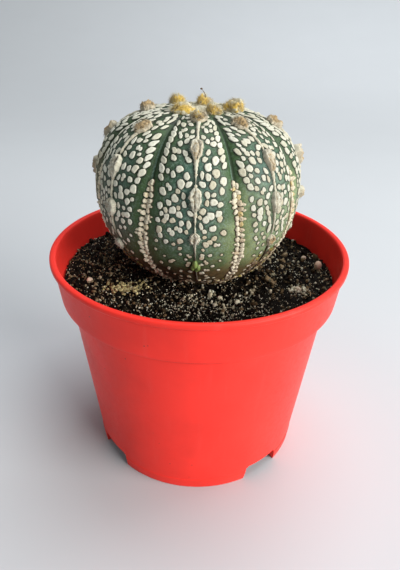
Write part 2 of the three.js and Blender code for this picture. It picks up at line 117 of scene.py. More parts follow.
# Pot and soil
BAND_BOTTOM = 53.4
BAND_TOP_RADIUS = 41.6
BAND_BOTTOM_RADIUS = 40.5
WALL_TOP_RADIUS = 38
FOOT_RADIUS = 32.6
FLOOR_UNDERSIDE = 2.5
FLOOR_TOP = 3.7
LIP_WIDTH = 1.7
LIP_HEIGHT = 1.6
NOTCHES = 4
NOTCH_AZIMUTH = 38.5
# Height and half angle of a notch at its top and below the foot
NOTCH_LEVELS = [(5, 10), (-1, 11.8)]
# Radius and side of its corners
NOTCH_CORNERS = [(27, -1), (36.6, -1), (36.6, 1), (27, 1)]
SOIL_SIDES = 300
SOIL_RINGS = 84
# Height of a grain of soil over its width
GRAIN_FLATNESS = 0.7

# Flecks
FLECK_TRIES = 4600
FLECK_SIDES = 12
# Swells round a fleck's outline, each a number and an amount
FLECK_SWELLS = [(2, 0.11), (3, 0.08), (4, 0.06), (5, 0.04)]
# Levels of a fleck: share of its outline, distance beyond it, share of its height, brightness, which is 0
# where shade is painted round it
FLECK_LEVELS = [
    (1.0, 0.22, -0.2, 0),
    (1.0, 0.12, 0.2, 0),
    (0.98, 0, 0.8, 0.8),
    (0.70, 0, 1.08, 1.0),
    (0.34, 0, 0.86, 0.7),
]

# Cork rows, sprout and dry scales
CORK_START = 31
CORK_END = 66
CAKE_SIDES = 13
CAKE_SWELLS = [(2, 0.1), (3, 0.11), (5, 0.08)]
# Levels of a cake of cork: share of its outline, share of its height, darkness
CAKE_LEVELS = [(1.05, -0.5, 1), (1.03, 0.15, 0.9), (0.92, 0.65, 0.25), (0.68, 0.95, 0), (0.36, 1.0, 0.1)]
# Distance from the crest and the crown, half width, half length and height of the sprout's buds
SPROUT_BUDS = [
    (-0.15, 51.4, 0.62, 1.45, 0.85),
    (0.6, 52.6, 0.5, 0.95, 0.7),
    (-0.75, 52.9, 0.45, 0.85, 0.6),
    (0.1, 53.6, 0.4, 0.6, 0.45),
]
# Azimuth of the dry scales, how far they spread to each side, and their share; the first two reach higher
SCALE_PLACES = [(47, 10, 0.30), (-50, 7, 0.24), (22, 9, 0.16), (0, 180, 0.30)]

# Stage, in metres
WARM_WHITE = (1.0, 0.985, 0.96)
COOL_WHITE = (0.96, 0.98, 1.0)
# The camera that was fitted to the photo
IMAGE_HEIGHT = 570
FOCAL_PIXELS = 492.97
CAMERA_PLACE = (0, -0.13101, 0.12685)
CAMERA_RIGHT = (0.99979, 0.00799, 0.01863)
CAMERA_UP = (-0.02013, 0.49835, 0.86674)
CAMERA_BACK = (-0.00236, -0.86694, 0.49841)


# Settings
def property_kind(kind, **fixed):
    """A maker of properties of one kind, each with a name, a description and a default."""
    return lambda name, description, default: kind(
        name=name, description=description, default=default, min=0, **fixed
    )


length = property_kind(FloatProperty, unit="LENGTH")
share = property_kind(FloatProperty, max=1, subtype="FACTOR")
power = property_kind(FloatProperty, unit="POWER")
tint = property_kind(FloatVectorProperty, max=1, size=3, subtype="COLOR")
count = property_kind(IntProperty)


class PotSettings(bpy.types.PropertyGroup):
    rim_radius: length("Rim radius", "Outer radius of the lip", 0.0425)
    height: length("Height", "Height of the pot over its lip", 0.0657)
    wall: length("Wall", "Thickness of the plastic", 0.0011)
    sides: count("Sides", "Facets round the pot", 192)
    plastic: tint("Plastic", "Colour of the moulded plastic", (0.90, 0.040, 0.028))
    gloss: share("Roughness", "Roughness of the plastic", 0.40)


class SoilSettings(bpy.types.PropertyGroup):
    level: length("Level", "Height of the soil at the wall", 0.057)
    mound: length("Mound", "Rise of the soil towards the plant", 0.0011)
    crumb: length("Crumb", "Unevenness of the surface", 0.0009)
    crumbs: count("Crumbs", "Dark crumbs lying on the soil", 600)
    grit: count("Grit", "Small pale mineral grains", 1400)
    perlite: count("Perlite", "Larger cream-white grains", 120)
    humus: tint("Humus", "Colour of the dark soil", (0.005, 0.0034, 0.0024))
    bark: tint("Bark", "Colour of its brown bits", (0.190, 0.128, 0.066))
    mineral: tint("Mineral", "Colour of the pale grains", (0.50, 0.45, 0.31))


class BodySettings(bpy.types.PropertyGroup):
    radius: length("Radius", "Radius at the waist", 0.0275)
    waist: length("Waist height", "Height of the widest place", 0.0821)
    crown_rise: length("Crown rise", "Crown above the waist", 0.0219)
    base_drop: length("Base drop", "Base of the ball below the waist", 0.0255)
    furrow: length("Furrow", "Depth of the furrows on the shoulder", 0.0023)
    furrow_low: length("Low furrow", "Depth of the furrows below the waist", 0.0013)
    bloom: tint("Bloom", "Blue-green skin along the crests", (0.047, 0.116, 0.084))
    green: tint("Green", "Skin of the flanks", (0.034, 0.076, 0.021))
    dust: tint("Dust", "Pale bloom between the flecks", (0.18, 0.25, 0.20))
    pale: tint("Pale", "Grey-green skin low on the ribs", (0.25, 0.30, 0.135))
    cork: tint("Base", "Corky skin at the base", (0.075, 0.045, 0.018))


class FleckSettings(bpy.types.PropertyGroup):
    radius: length("Radius", "Radius of a usual fleck", 0.00077)
    height: length("Height", "Height of a fleck over the skin", 0.00024)
    space: length("Space", "Bare skin between flecks", 0.00025)
    felt: tint("Felt", "Colour of the flecks", (0.57, 0.57, 0.48))
    aged: tint("Aged felt", "Colour of old flecks", (0.50, 0.42, 0.28))


class AreoleSettings(bpy.types.PropertyGroup):
    pad_length: length("Length", "Length of a grown woolly pad", 0.0060)
    pad_width: length("Width", "Width of a grown woolly pad", 0.0029)
    pad_height: length("Height", "Height of a grown woolly pad", 0.0017)
    line_width: length("Line width", "Width of the felt line on the crest", 0.00092)
    line_height: length("Line height", "Height of the felt line on the crest", 0.0004)
    hairs: count("Hairs", "Hairs on each pad", 150)
    old_wool: tint("Old wool", "Colour of the low pads", (0.53, 0.515, 0.42))
    young_wool: tint("Young wool", "Colour of the pads near the crown", (0.30, 0.21, 0.10))
    line_felt: tint("Line felt", "Colour of the felt line", (0.52, 0.50, 0.39))


class CrownSettings(bpy.types.PropertyGroup):
    felt_radius: length("Felt radius", "Reach of the felt between the tufts", 0.0078)
    hairs: count("Hairs", "Hairs on each tuft", 2250)
    golden: tint("Golden wool", "Colour inside the tufts", (0.56, 0.38, 0.065))
    cream: tint("Cream wool", "Colour of the tips and the felt", (0.57, 0.53, 0.375))


class CorkSettings(bpy.types.PropertyGroup):
    cake: length("Cake", "Half the width of a cork cake", 0.00064)
    spacing: length("Spacing", "Distance between cakes along a row", 0.00132)
    height: length("Height", "Height of the cakes over the skin", 0.00066)
    cream: tint("Cream", "Colour of fresh cork", (0.58, 0.53, 0.40))
    tan: tint("Tan", "Colour of weathered cork", (0.38, 0.27, 0.16))


class StageSettings(bpy.types.PropertyGroup):
    floor: tint("Floor", "Colour of the floor", (0.53, 0.553, 0.572))
    key: power("Key light", "Power of the window light", 10.6)
    top: power("Top light", "Power of the overhead light", 9)
    backdrop: power("Backdrop light", "Power of the light on the far floor", 2.7)
    room: share("Room light", "Brightness of the room", 0.29)


class StarCactusSettings(bpy.types.PropertyGroup):
    pot: PointerProperty(type=PotSettings)
    soil: PointerProperty(type=SoilSettings)
    body: PointerProperty(type=BodySettings)
    flecks: PointerProperty(type=FleckSettings)
    areoles: PointerProperty(type=AreoleSettings)
    crown: PointerProperty(type=CrownSettings)
    cork: PointerProperty(type=CorkSettings)
    stage: PointerProperty(type=StageSettings)


# Small mathematics
def seeded(name, offset=0):
    """A generator of random draws for one kind of detail."""
    return np.random.default_rng(SEEDS[name] + offset)


def smoothstep(value, low, high):
    t = np.clip((np.asarray(value, float) - low) / (high - low), 0, 1)
    return t * t * (3 - 2 * t)


def lerp(a, b, t):
    return a + (b - a) * t


def unit(vectors):
    """The vectors at length 1."""
    return vectors / np.maximum(np.linalg.norm(vectors, axis=-1, keepdims=True), 1e-12)


def circle(sides):
    """Angle, cosine and sine of the places round a ring."""
    angle = 2 * np.pi * np.arange(sides) / sides
    return angle, np.cos(angle), np.sin(angle)


def on_circle(radius, azimuth, height, centre_x=0.0):
    """Points round the upright axis, with the azimuth in degrees from the front."""
    turn = np.radians(azimuth)
    places = centre_x + radius * np.sin(turn), -radius * np.cos(turn), height
    return np.stack(np.broadcast_arrays(*places), axis=-1).astype(float)


def waves(points, size, seed=0.0):
    """Smooth noise from -1 to 1 at points in millimetres, with swells of the given size."""
    flat = np.asarray(points, float).reshape(-1, 3) / size + seed
    values = np.fromiter((noise.noise(p) for p in flat.tolist()), float, len(flat))
    return values.reshape(np.shape(points)[:-1])


def uneven(rng, size, amount, limit=1.5):
    """Random factors round 1."""
    return 1 + amount * rng.normal(size=size).clip(-limit, limit)


def capped(first, values, last):
    """Values on stacked rings in one row, between those of the two closing points."""
    return np.concatenate([[first], np.reshape(values, -1), [last]])


# Mesh building
def ring_faces(sides, rings):
    """Faces over stacked rings that close to one point at each end: point 0, the rings, the last point."""
    side = np.arange(sides)
    following = (side + 1) % sides
    last = 1 + rings * sides
    band = np.stack([side, side + sides, following + sides, following], axis=1) + 1
    return [
        np.stack([0 * side, 1 + side, 1 + following], axis=1),
        np.stack([0 * side + last, last - sides + following, last - sides + side], axis=1),
        np.concatenate([band + ring * sides for ring in range(rings - 1)]),
    ]


def volume(points, faces):
    """Six times the volume that the faces enclose."""
    total = 0.0
    for group in faces:
        a = points[group[:, 0]]
        for i in range(1, group.shape[1] - 1):
            total += np.einsum("ij,ij->", a, np.cross(points[group[:, i]], points[group[:, i + 1]]))
    return total


def linked(name, data):
    """A new object of the scene."""
    thing = bpy.data.objects.new(name, data)
    bpy.context.scene.collection.objects.link(thing)
    return thing


class Shape:
    """Points in millimetres, faces and values per point, gathered from many forms into one mesh."""

    def __init__(self):
        self.points, self.faces, self.values, self.count = [], [], {}, 0

    def add(self, forms, faces, **values):
        """Adds forms of points (form, point, 3) that share faces; a value broadcasts to (form, point)."""
        forms = np.asarray(forms, float)
        if forms.ndim == 2:
            forms = forms[None]
        number, size = forms.shape[:2]
        if volume(forms[0], faces) < 0:
            faces = [group[:, ::-1] for group in faces]
        first = self.count + size * np.arange(number)
        for group in faces:
            self.faces.append((group[None] + first[:, None, None]).reshape(-1, group.shape[1]))
        self.points.append(forms.reshape(-1, 3))
        for name, value in values.items():
            self.values.setdefault(name, []).append(np.broadcast_to(value, (number, size)).reshape(-1))
        self.count += number * size

    def add_rings(self, first, rings, last, **values):
        """Adds one form of rings (ring, side, 3), or many, closed by a point at each end."""
        rings = np.asarray(rings, float)
        levels, sides = rings.shape[-3:-1]
        ends = [np.reshape(end, (-1, 1, 3)) for end in (first, last)]
        forms = np.concatenate([ends[0], rings.reshape(-1, levels * sides, 3), ends[1]], axis=1)
        self.add(forms, ring_faces(sides, levels), **values)

    def build(self, name, finish, slot, replaced=None):
        """Makes a piece of the model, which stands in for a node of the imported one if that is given."""
        points = np.concatenate(self.points) * MM
        corners = np.concatenate([group.reshape(-1) for group in self.faces])
        sizes = np.concatenate([np.full(len(group), group.shape[1]) for group in self.faces])
        mesh = bpy.data.meshes.new(name)
        mesh.vertices.add(len(points))
        mesh.vertices.foreach_set("co", points.ravel())
        mesh.loops.add(len(corners))
        mesh.loops.foreach_set("vertex_index", corners)
        mesh.polygons.add(len(sizes))
        mesh.polygons.foreach_set("loop_start", np.cumsum(sizes) - sizes)
        mesh.update(calc_edges=True)
        mesh.validate()
        for key, parts in self.values.items():
            attribute = mesh.attributes.new(key, "FLOAT", "POINT")
            attribute.data.foreach_set("value", np.concatenate(parts).astype(np.float32))
        mesh.shade_smooth()
        mesh.materials.append(finish)
        piece = linked(name, mesh)
        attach(piece, "root")
        if replaced:
            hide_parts(replaced)
        return piece


def ball(subdivisions):
    """A unit ball of triangles."""
    bm = bmesh.new()
    bmesh.ops.create_icosphere(bm, subdivisions=subdivisions, radius=1)
    points = np.array([vertex.co[:] for vertex in bm.verts])
    faces = np.array([[vertex.index for vertex in face.verts] for face in bm.faces])
    bm.free()
    return points, [faces]


def random_turns(rng, number):
    """Random rotation matrices."""
    w, x, y, z = unit(rng.normal(size=(number, 4))).T
    rows = [
        [1 - 2 * (y * y + z * z), 2 * (x * y - z * w), 2 * (x * z + y * w)],
        [2 * (x * y + z * w), 1 - 2 * (x * x + z * z), 2 * (y * z - x * w)],
        [2 * (x * z - y * w), 2 * (y * z + x * w), 1 - 2 * (x * x + y * y)],
    ]
    return np.moveaxis(np.array(rows), -1, 0)


def lumps(rng, centres, sizes, subdivisions, rough=0.22):
    """Irregular grains at the centres, with sizes (grain, 3) as half extents."""
    points, faces = ball(subdivisions)
    forms = points * uneven(rng, (len(centres), len(points), 1), rough, 1.6) * sizes[:, None, :]
    forms = np.einsum("nij,npj->npi", random_turns(rng, len(centres)), forms)
    return forms + centres[:, None, :], faces


# Share of its length at which each point of a hair lies
HAIR_ALONG = capped(0, np.repeat(HAIR_STEPS, HAIR_SIDES), 1)
HAIR_FACES = ring_faces(HAIR_SIDES, len(HAIR_STEPS))


def hairs(rng, roots, aims, lengths, widths, drift):
    """Closed tapering hairs; lengths and widths are ranges, drift is how far the tips stray."""
    number, aims = len(roots), unit(aims)
    lengths, widths = rng.uniform(*lengths, number), rng.uniform(*widths, number)
    drifts = rng.normal(0, drift, (number, 3))
    side = unit(np.cross(aims, aims[:, [1, 2, 0]] + 0.3))
    _, cosine, sine = circle(HAIR_SIDES)
    around = cosine[:, None] * side[:, None] + sine[:, None] * np.cross(aims, side)[:, None]

    def middle(t):
        return (roots + aims * (lengths * t)[:, None] + drifts * t * t)[:, None]

    rings = [middle(t) + around * (widths * (1 - 0.75 * t) / 2)[:, None, None] for t in HAIR_STEPS]
    return np.concatenate([roots[:, None], *rings, middle(1.0)], axis=1)


# The plant's form
class CactusForm:
    """The plant's ribbed skin, in millimetres. A place on it is a rib, a share across the rib from -1 to 1
    with 0 on the crest, and a distance along the skin from the crown."""

    def __init__(self, body):
        self.waist, self.drop = body.waist / MM, body.base_drop / MM
        self.furrow, self.furrow_low = body.furrow / MM, body.furrow_low / MM
        angle = np.pi / 2 - np.pi * np.arange(601) / 600
        upper = angle > 0
        power_of = 2 / np.where(upper, CROWN_ROUNDNESS, BASE_ROUNDNESS)
        radius = body.radius / MM * np.maximum(0, np.cos(angle)) ** power_of
        rise = np.abs(np.sin(angle)) ** power_of * np.where(upper, body.crown_rise / MM, -self.drop)
        dimple = np.where(upper, CROWN_DIMPLE * np.exp(-((radius / DIMPLE_RADIUS) ** 2)), 0)
        height = self.waist + rise - dimple
        end = int(np.argmax(~upper & (height < NECK_HEIGHT))) + 1
        self.radii, self.heights = radius[:end], height[:end]
        steps = np.hypot(np.diff(self.radii), np.diff(self.heights))
        self.along = np.concatenate([[0], np.cumsum(steps)])
        self.neck = self.along[-1]
        self.top = np.array([AXIS_X, 0, self.heights[0]])
        self.root_x = self.axis_x(NECK_HEIGHT)

    def radius_at(self, along):
        """Radius of the ball at a distance from the crown."""
        return np.interp(along, self.along, self.radii)

    def height_at(self, along):
        return np.interp(along, self.along, self.heights)

    def axis_x(self, height):
        """Where the plant's bent axis lies at a height."""
        return AXIS_X + AXIS_BEND * np.clip((self.waist - height) / self.drop, 0, 1) ** 2

    @staticmethod
    def edge(rib, side, along):
        """Azimuth of the furrow on a side of a rib."""
        k = np.where(side < 0, rib - 1, rib)
        ends = FURROWS_AT_CROWN[k % RIBS], FURROWS_AT_BASE[k % RIBS]
        return 360.0 * (k // RIBS) + lerp(*ends, smoothstep(along, 26, 56))

    @staticmethod
    def crest(rib, along):
        """Azimuth of a rib's crest."""
        return lerp(CRESTS_AT_CROWN[rib], CRESTS[rib], smoothstep(along, 8, 26))

    def furrow_depth(self, along):
        fade = smoothstep(along, 2, 16) * (1 - smoothstep(along, 58, self.neck))
        return fade * lerp(self.furrow, self.furrow_low, smoothstep(along, 28, 46))

    def half_width(self, rib, side, along):
        """Width from the crest of a rib to its furrow, on the side -1 or 1."""
        turn = np.abs(self.edge(rib, side, along) - self.crest(rib, along))
        return self.radius_at(along) * np.radians(turn)

    def point(self, rib, across, along):
        """A point of the skin without its fine unevenness."""
        rib, across, along = np.broadcast_arrays(rib, across, along)
        azimuth = lerp(self.crest(rib, along), self.edge(rib, across, along), np.abs(across))
        height = self.height_at(along)
        dip = self.furrow_depth(along) * (0.4 * across**2 + 0.6 * np.abs(across) ** 6)
        return on_circle(self.radius_at(along) - dip, azimuth, height, self.axis_x(height))

    def frame(self, rib, across, along):
        """Point, outward normal, and directions across the rib and down the plant."""
        inner = np.clip(across, -0.98, 0.98)
        above = self.point(rib, across, np.maximum(along - 0.05, 0.01))
        down = unit(self.point(rib, across, along + 0.05) - above)
        sideways = unit(self.point(rib, inner + 0.015, along) - self.point(rib, inner - 0.015, along))
        return self.point(rib, across, along), unit(np.cross(down, sideways)), sideways, down

    def across_at(self, rib, aside, along):
        """Share across the rib for a distance from its crest in millimetres."""
        return np.clip(aside / self.half_width(rib, np.sign(aside), along), -1, 1)

    def lifted(self, rib, aside, along, lift):
        """Points over the living skin at a distance aside from the crest."""
        point, normal, _, _ = self.frame(rib, self.across_at(rib, aside, along), along)
        return point + normal * (np.asarray(lift) + self.relief(point, along))[..., None]

    @staticmethod
    def relief(point, along):
        """Fine unevenness of the living skin."""
        return smoothstep(along, 1, 6) * (0.12 * waves(point, 3.4, 3.1) + 0.02 * waves(point, 1.2, 9.7))


def areole_distance(n):
    """Distance of an areole from the crown along the skin."""
    return FIRST_AREOLE + AREOLE_STEP * n + AREOLE_SHIFTS.get(n, 0)


def areole_rib(n):
    return (1 + 3 * n) % RIBS


def areoles_of(rib, first=len(CROWN_TUFTS)):
    """Numbers of the areoles on a rib, from a first one on."""
    return [n for n in range(first, AREOLE_COUNT) if areole_rib(n) == rib]


# Materials
class Signal:
    """A node's output that takes part in Python arithmetic."""

    def __init__(self, finish, socket):
        self.finish, self.socket = finish, socket

    def _math(self, operation, *values):
        return self.finish.node("ShaderNodeMath", {"operation": operation}, values)

    def __add__(self, other):
        return self._math("ADD", self, other)

    def __sub__(self, other):
        return self._math("SUBTRACT", self, other)

    def __rsub__(self, other):
        return self._math("SUBTRACT", other, self)

    def __mul__(self, other):
        return self._math("MULTIPLY", self, other)

    def __abs__(self):
        return self._math("ABSOLUTE", self)

    __radd__, __rmul__ = __add__, __mul__

    def between(self, low, high, start=0.0, end=1.0):
        """Goes smoothly from start to end as the signal goes from low to high."""
        settings = {"interpolation_type": "SMOOTHSTEP"}
        return self.finish.node("ShaderNodeMapRange", settings, (self, low, high, start, end))


class Finish:
    """A procedural node material."""

    def __init__(self, name):
        self.material = bpy.data.materials.new(name)
        self.material.use_nodes = True
        self.tree = self.material.node_tree
        # The surface's own place in millimetres
        self.place = self.stretched(self.node("ShaderNodeTexCoord", output=3), (1 / MM,) * 3)

    def node(self, kind, settings=None, values=(), output=0):
        """One node: its settings first, then the values or links of its inputs."""
        node = self.tree.nodes.new(kind)
        for key, value in (settings or {}).items():
            if key == "stops":
                self._set_stops(node.color_ramp.elements, value)
            else:
                setattr(node, key, value)
        for key, value in values.items() if isinstance(values, dict) else enumerate(values):
            self._plug(node.inputs[key], value)
        return Signal(self, node.outputs[output])

    @staticmethod
    def _set_stops(elements, stops):
        for _ in stops[len(elements):]:
            elements.new(1)
        for element, (position, colour) in zip(elements, stops):
            element.position, element.color = position, (*colour, 1)

    def _plug(self, socket, value):
        if isinstance(value, Signal):
            self.tree.links.new(value.socket, socket)
        else:
            socket.default_value = (*value[:3], 1) if socket.type == "RGBA" else value

    def stretched(self, place, factors):
        return self.node("ShaderNodeVectorMath", {"operation": "MULTIPLY"}, (place, factors))

    def axis(self, index):
        """The surface's own x, y or z in millimetres."""
        return self.node("ShaderNodeSeparateXYZ", {}, (self.place,), index)

    def clouds(self, size, detail=2.0, rough=0.5, at=None, seed=0.0):
        """Cloudy noise from 0 to 1 with swells of a size in millimetres."""
        settings, more = ({"noise_dimensions": "4D"}, {"W": seed}) if seed else ({}, {})
        values = {"Vector": at or self.place, "Scale": 1 / size, "Detail": detail, "Roughness": rough}
        return self.node("ShaderNodeTexNoise", settings, values | more)

    def cells(self, size, feature="F1"):
        """Distance to the nearest cell centre, or to a cell's edge, with cells of a size."""
        values = {"Vector": self.place, "Scale": 1 / size}
        return self.node("ShaderNodeTexVoronoi", {"feature": feature}, values)

    def carried(self, *names):
        """A value that the mesh carries, or several."""
        signals = [self.node("ShaderNodeAttribute", {"attribute_name": name}, output=2) for name in names]
        return signals if len(names) > 1 else signals[0]

    def coats(self, colour, *layers):
        """Lays colours over the first one, each by its own factor."""
        for over, factor in layers:
            colour = self.node("ShaderNodeMix", {"data_type": "RGBA"}, {0: factor, 6: colour, 7: over}, 2)
        return colour

    def surface(self, colour, roughness, grain=None, depth=0, strength=1.0, **sockets):
        """Sets the shader, with a grain of a depth in millimetres if one is given, and gives the material."""
        sockets |= {"Base_Color": colour, "Roughness": roughness}
        if grain:
            values = {"Strength": strength, "Distance": depth * MM, "Height": grain}
            sockets["Normal"] = self.node("ShaderNodeBump", {}, values)
        shader = self.tree.nodes["Principled BSDF"]
        for name, value in sockets.items():
            self._plug(shader.inputs[name.replace("_", " ")], value)
        return self.material


def shaded(colour, factor):
    """A colour made darker or lighter."""
    return tuple(min(1.0, channel * factor) for channel in colour)


# Operators
class CactusOperator:
    """What the operators share."""

    bl_options = {"REGISTER", "UNDO"}

    @classmethod
    def poll(cls, context):
        return context.scene is not None

    @staticmethod
    def settings(context):
        """The settings and the form of the plant."""
        settings = context.scene.star_cactus
        return settings, CactusForm(settings.body)


# Pot
def rounded(corners, steps=4):
    """The outline with its corners rounded; a corner is a radius, a height and how far back it is cut."""
    outline = []
    for i, (x, z, cut) in enumerate(corners):
        if not cut:
            outline.append((x, z))
            continue
        here = np.array([x, z])
        ways = [np.array(corners[j][:2], float) - here for j in (i - 1, i + 1)]
        reaches = [np.linalg.norm(way) for way in ways]
        start, end = (here + way / far * min(cut, far * 0.45) for way, far in zip(ways, reaches))
        for t in np.linspace(0, 1, steps):
            outline.append(tuple((1 - t) ** 2 * start + 2 * t * (1 - t) * here + t * t * end))
    return outline


def pot_outline(rim, height, wall):
    """Radius and height from under the floor, up the outside, over the lip and down the inside."""
    band_top = height - LIP_HEIGHT
    return rounded([
        # radius, height, rounding
        (0, FLOOR_UNDERSIDE, 0),
        (FOOT_RADIUS - wall - 0.3, FLOOR_UNDERSIDE, 0.4),
        (FOOT_RADIUS - wall - 0.1, 0, 0.25),
        (FOOT_RADIUS, 0, 0.3),
        (FOOT_RADIUS + 0.34, 3.3, 0.2),
        (FOOT_RADIUS + 0.2, 3.6, 0.2),
        (WALL_TOP_RADIUS, BAND_BOTTOM, 0.25),
        (BAND_BOTTOM_RADIUS - 0.1, BAND_BOTTOM, 0.3),
        (BAND_BOTTOM_RADIUS + 0.1, BAND_BOTTOM + 1.2, 0.3),
        (BAND_TOP_RADIUS, band_top, 0.3),
        (rim, band_top + 0.15, 0.5),
        (rim, height, 0.6),
        (rim - LIP_WIDTH, height, 0.6),
        (BAND_TOP_RADIUS - wall, band_top - 0.6, 0.6),
        (BAND_BOTTOM_RADIUS - wall, BAND_BOTTOM + wall, 0.4),
        (WALL_TOP_RADIUS - wall, BAND_BOTTOM + wall - 0.3, 0.4),
        (FOOT_RADIUS - wall + 0.3, FLOOR_TOP, 0.8),
        (0, FLOOR_TOP, 0),
    ])


def notch_wedge(azimuth):
    """A wedge that cuts one drain notch, with its upright and top edges rounded."""
    bm = bmesh.new()
    for height, half in NOTCH_LEVELS:
        for radius, side in NOTCH_CORNERS:
            bm.verts.new(on_circle(radius, azimuth + side * half, height) * MM)
    bmesh.ops.convex_hull(bm, input=bm.verts)
    heights = [(edge, *(vertex.co.z / MM for vertex in edge.verts)) for edge in bm.edges]
    edges = [edge for edge, low, high in heights if min(low, high) > 4 or abs(low - high) > 4]
    bmesh.ops.bevel(bm, geom=edges, offset=0.5 * MM, segments=3, affect="EDGES")
    mesh = bpy.data.meshes.new("notch")
    bm.to_mesh(mesh)
    bm.free()
    return linked("notch", mesh)


def cut_notches(pot):
    """Cuts the drain notches into the foot and keeps the edges crisp."""
    for turn in range(NOTCHES):
        wedge = notch_wedge(NOTCH_AZIMUTH + 360 / NOTCHES * turn)
        cut = pot.modifiers.new("notch", "BOOLEAN")
        cut.operation, cut.object, cut.solver = "DIFFERENCE", wedge, "EXACT"
        evaluated = pot.evaluated_get(bpy.context.evaluated_depsgraph_get())
        whole = bpy.data.meshes.new_from_object(evaluated)
        pot.modifiers.clear()
        pot.data = whole
        bpy.data.objects.remove(wedge)
    pot.data.shade_smooth()
    pot.data.set_sharp_from_angle(angle=math.radians(38))


def red_plastic(pot):
    """Red plastic with a little dust, faint streaks down the wall and a shade under the band."""
    finish = Finish("red plastic")
    red, height = pot.plastic, finish.axis(2)
    dust = finish.cells(2.3).between(0.05, 0.11, 1, 0) * finish.clouds(7, 2, seed=4.0).between(0.54, 0.66)
    streaks = finish.clouds(2.2, 2, at=finish.stretched(finish.place, (1, 1, 0.08))).between(0.55, 0.8)
    band_shade = height.between(BAND_BOTTOM - 2.3, BAND_BOTTOM - 1.7)
    colour = finish.coats(
        red,
        (shaded(red, 0.86), finish.clouds(16, 3).between(0.35, 0.75)),
        ((0.09, 0.035, 0.025), dust * 0.75),
        ((0.9, 0.35, 0.3), streaks * 0.03 * height.between(0, 26, 0.35, 1.0)),
        # Painted shade on the wall just under the band
        (shaded(red, 0.45), band_shade * height.between(BAND_BOTTOM, BAND_BOTTOM + 0.25, 1, 0)),
    )
    roughness = pot.gloss + finish.clouds(1.3, 4, 0.6).between(0.3, 0.8, -0.03, 0.07)
    grain = finish.clouds(0.35, 3, 0.6) * 0.5 + finish.clouds(5, 1) * 0.9
    return finish.surface(colour, roughness, grain, 0.04, 0.6, IOR=1.5, Specular_IOR_Level=0.13)


class CACTUS_OT_pot(CactusOperator, bpy.types.Operator):
    """Moulds the red nursery pot with its rim band, lip and foot notches"""

    bl_idname = "star_cactus.pot"
    bl_label = "Pot"

    def execute(self, context):
        pot = self.settings(context)[0].pot
        outline = pot_outline(pot.rim_radius / MM, pot.height / MM, pot.wall / MM)
        azimuths = np.arange(pot.sides) * 360 / pot.sides
        first, *rings, last = [on_circle(radius, azimuths, height) for radius, height in outline]
        shape = Shape()
        shape.add_rings(first[0], rings, last[0])
        cut_notches(shape.build("nursery_pot", red_plastic(pot), "pot_plastic", "pot"))
        return {"FINISHED"}


# Soil
class Ground:
    """The soil's surface: from the hole that the root fills to the pot's wall."""

    def __init__(self, soil, root_x):
        self.soil, self.root_x = soil, root_x
        self.hole = TAPROOT[0][0] + 0.3
        self.wall = BAND_BOTTOM_RADIUS - 1.3

    def height(self, points):
        x, y = points[..., 0], points[..., 1]
        reach = np.hypot(x - self.root_x, y)
        out = np.clip((reach - self.hole) / (self.wall - self.hole), 0, 1)
        flat = np.stack([x, y, 0 * x], axis=-1)
        rough = 0.55 * waves(flat, 7.5) + 0.55 * waves(flat, 2.3, 5.2) + 0.4 * waves(flat, 0.95, 8.8)
        calm = 0.35 + 0.65 * smoothstep(reach, self.hole, self.hole + 2.5)
        base = self.soil.level / MM + self.soil.mound / MM * (1 - out) ** 2
        # Higher at the left of the plant, lower behind it at the right
        base = base + smoothstep(-x, 12, 38) * smoothstep(y, -15, 10)
        base = base - 0.6 * smoothstep(x, 8, 34) * smoothstep(y, 0, 20)
        return base + self.soil.crumb / MM * rough * calm

    def places(self, rng, number, near=None, spread=1.0):
        """Random places on the soil, or round a middle."""
        if near is None:
            radius = np.sqrt(rng.uniform((self.hole - 1.2) ** 2, (self.wall + 0.1) ** 2, number))
            places = on_circle(radius, rng.uniform(0, 360, number), 0.0)
            places[:, 0] += self.root_x * np.clip(1 - (radius - self.hole) / 20, 0, 1)
            return places
        places = np.zeros((number, 3))
        places[:, :2] = np.asarray(near) + rng.normal(size=(number, 2)) * spread
        within = np.minimum(1, (self.wall - 0.3) / np.hypot(places[:, 0], places[:, 1]))
        return places * within[:, None]


def make_bed(ground, soil):
    """The fill of soil: up the taproot's hole, over the uneven top and down to the floor."""
    azimuths = np.arange(SOIL_SIDES) * 360 / SOIL_SIDES
    hole = [on_circle(r + 0.3, azimuths, z - 0.3, ground.root_x) for r, z in TAPROOT[:0:-1]]
    top = []
    for out in np.linspace(0, 1, SOIL_RINGS) ** 0.9:
        ring = on_circle(lerp(ground.hole, ground.wall, out), azimuths, 0.0, ground.root_x * (1 - out))
        ring[:, 2] = ground.height(ring)
        top.append(ring)
    sides = (ground.wall - 0.1, 54.8), (WALL_TOP_RADIUS - 1.4, 54.5), (FOOT_RADIUS - 1.1, FLOOR_TOP + 0.3)
    side = [on_circle(radius, azimuths, height) for radius, height in sides]
    shape = Shape()
    ends = (ground.root_x, 0, TAPROOT_TIP - 0.6), (0, 0, FLOOR_TOP + 0.3)
    shape.add_rings(ends[0], [*hole, *top, *side], ends[1], tone=0.02)
    shape.build("soil_bed", earth(soil, "soil"), "soil", "soil")


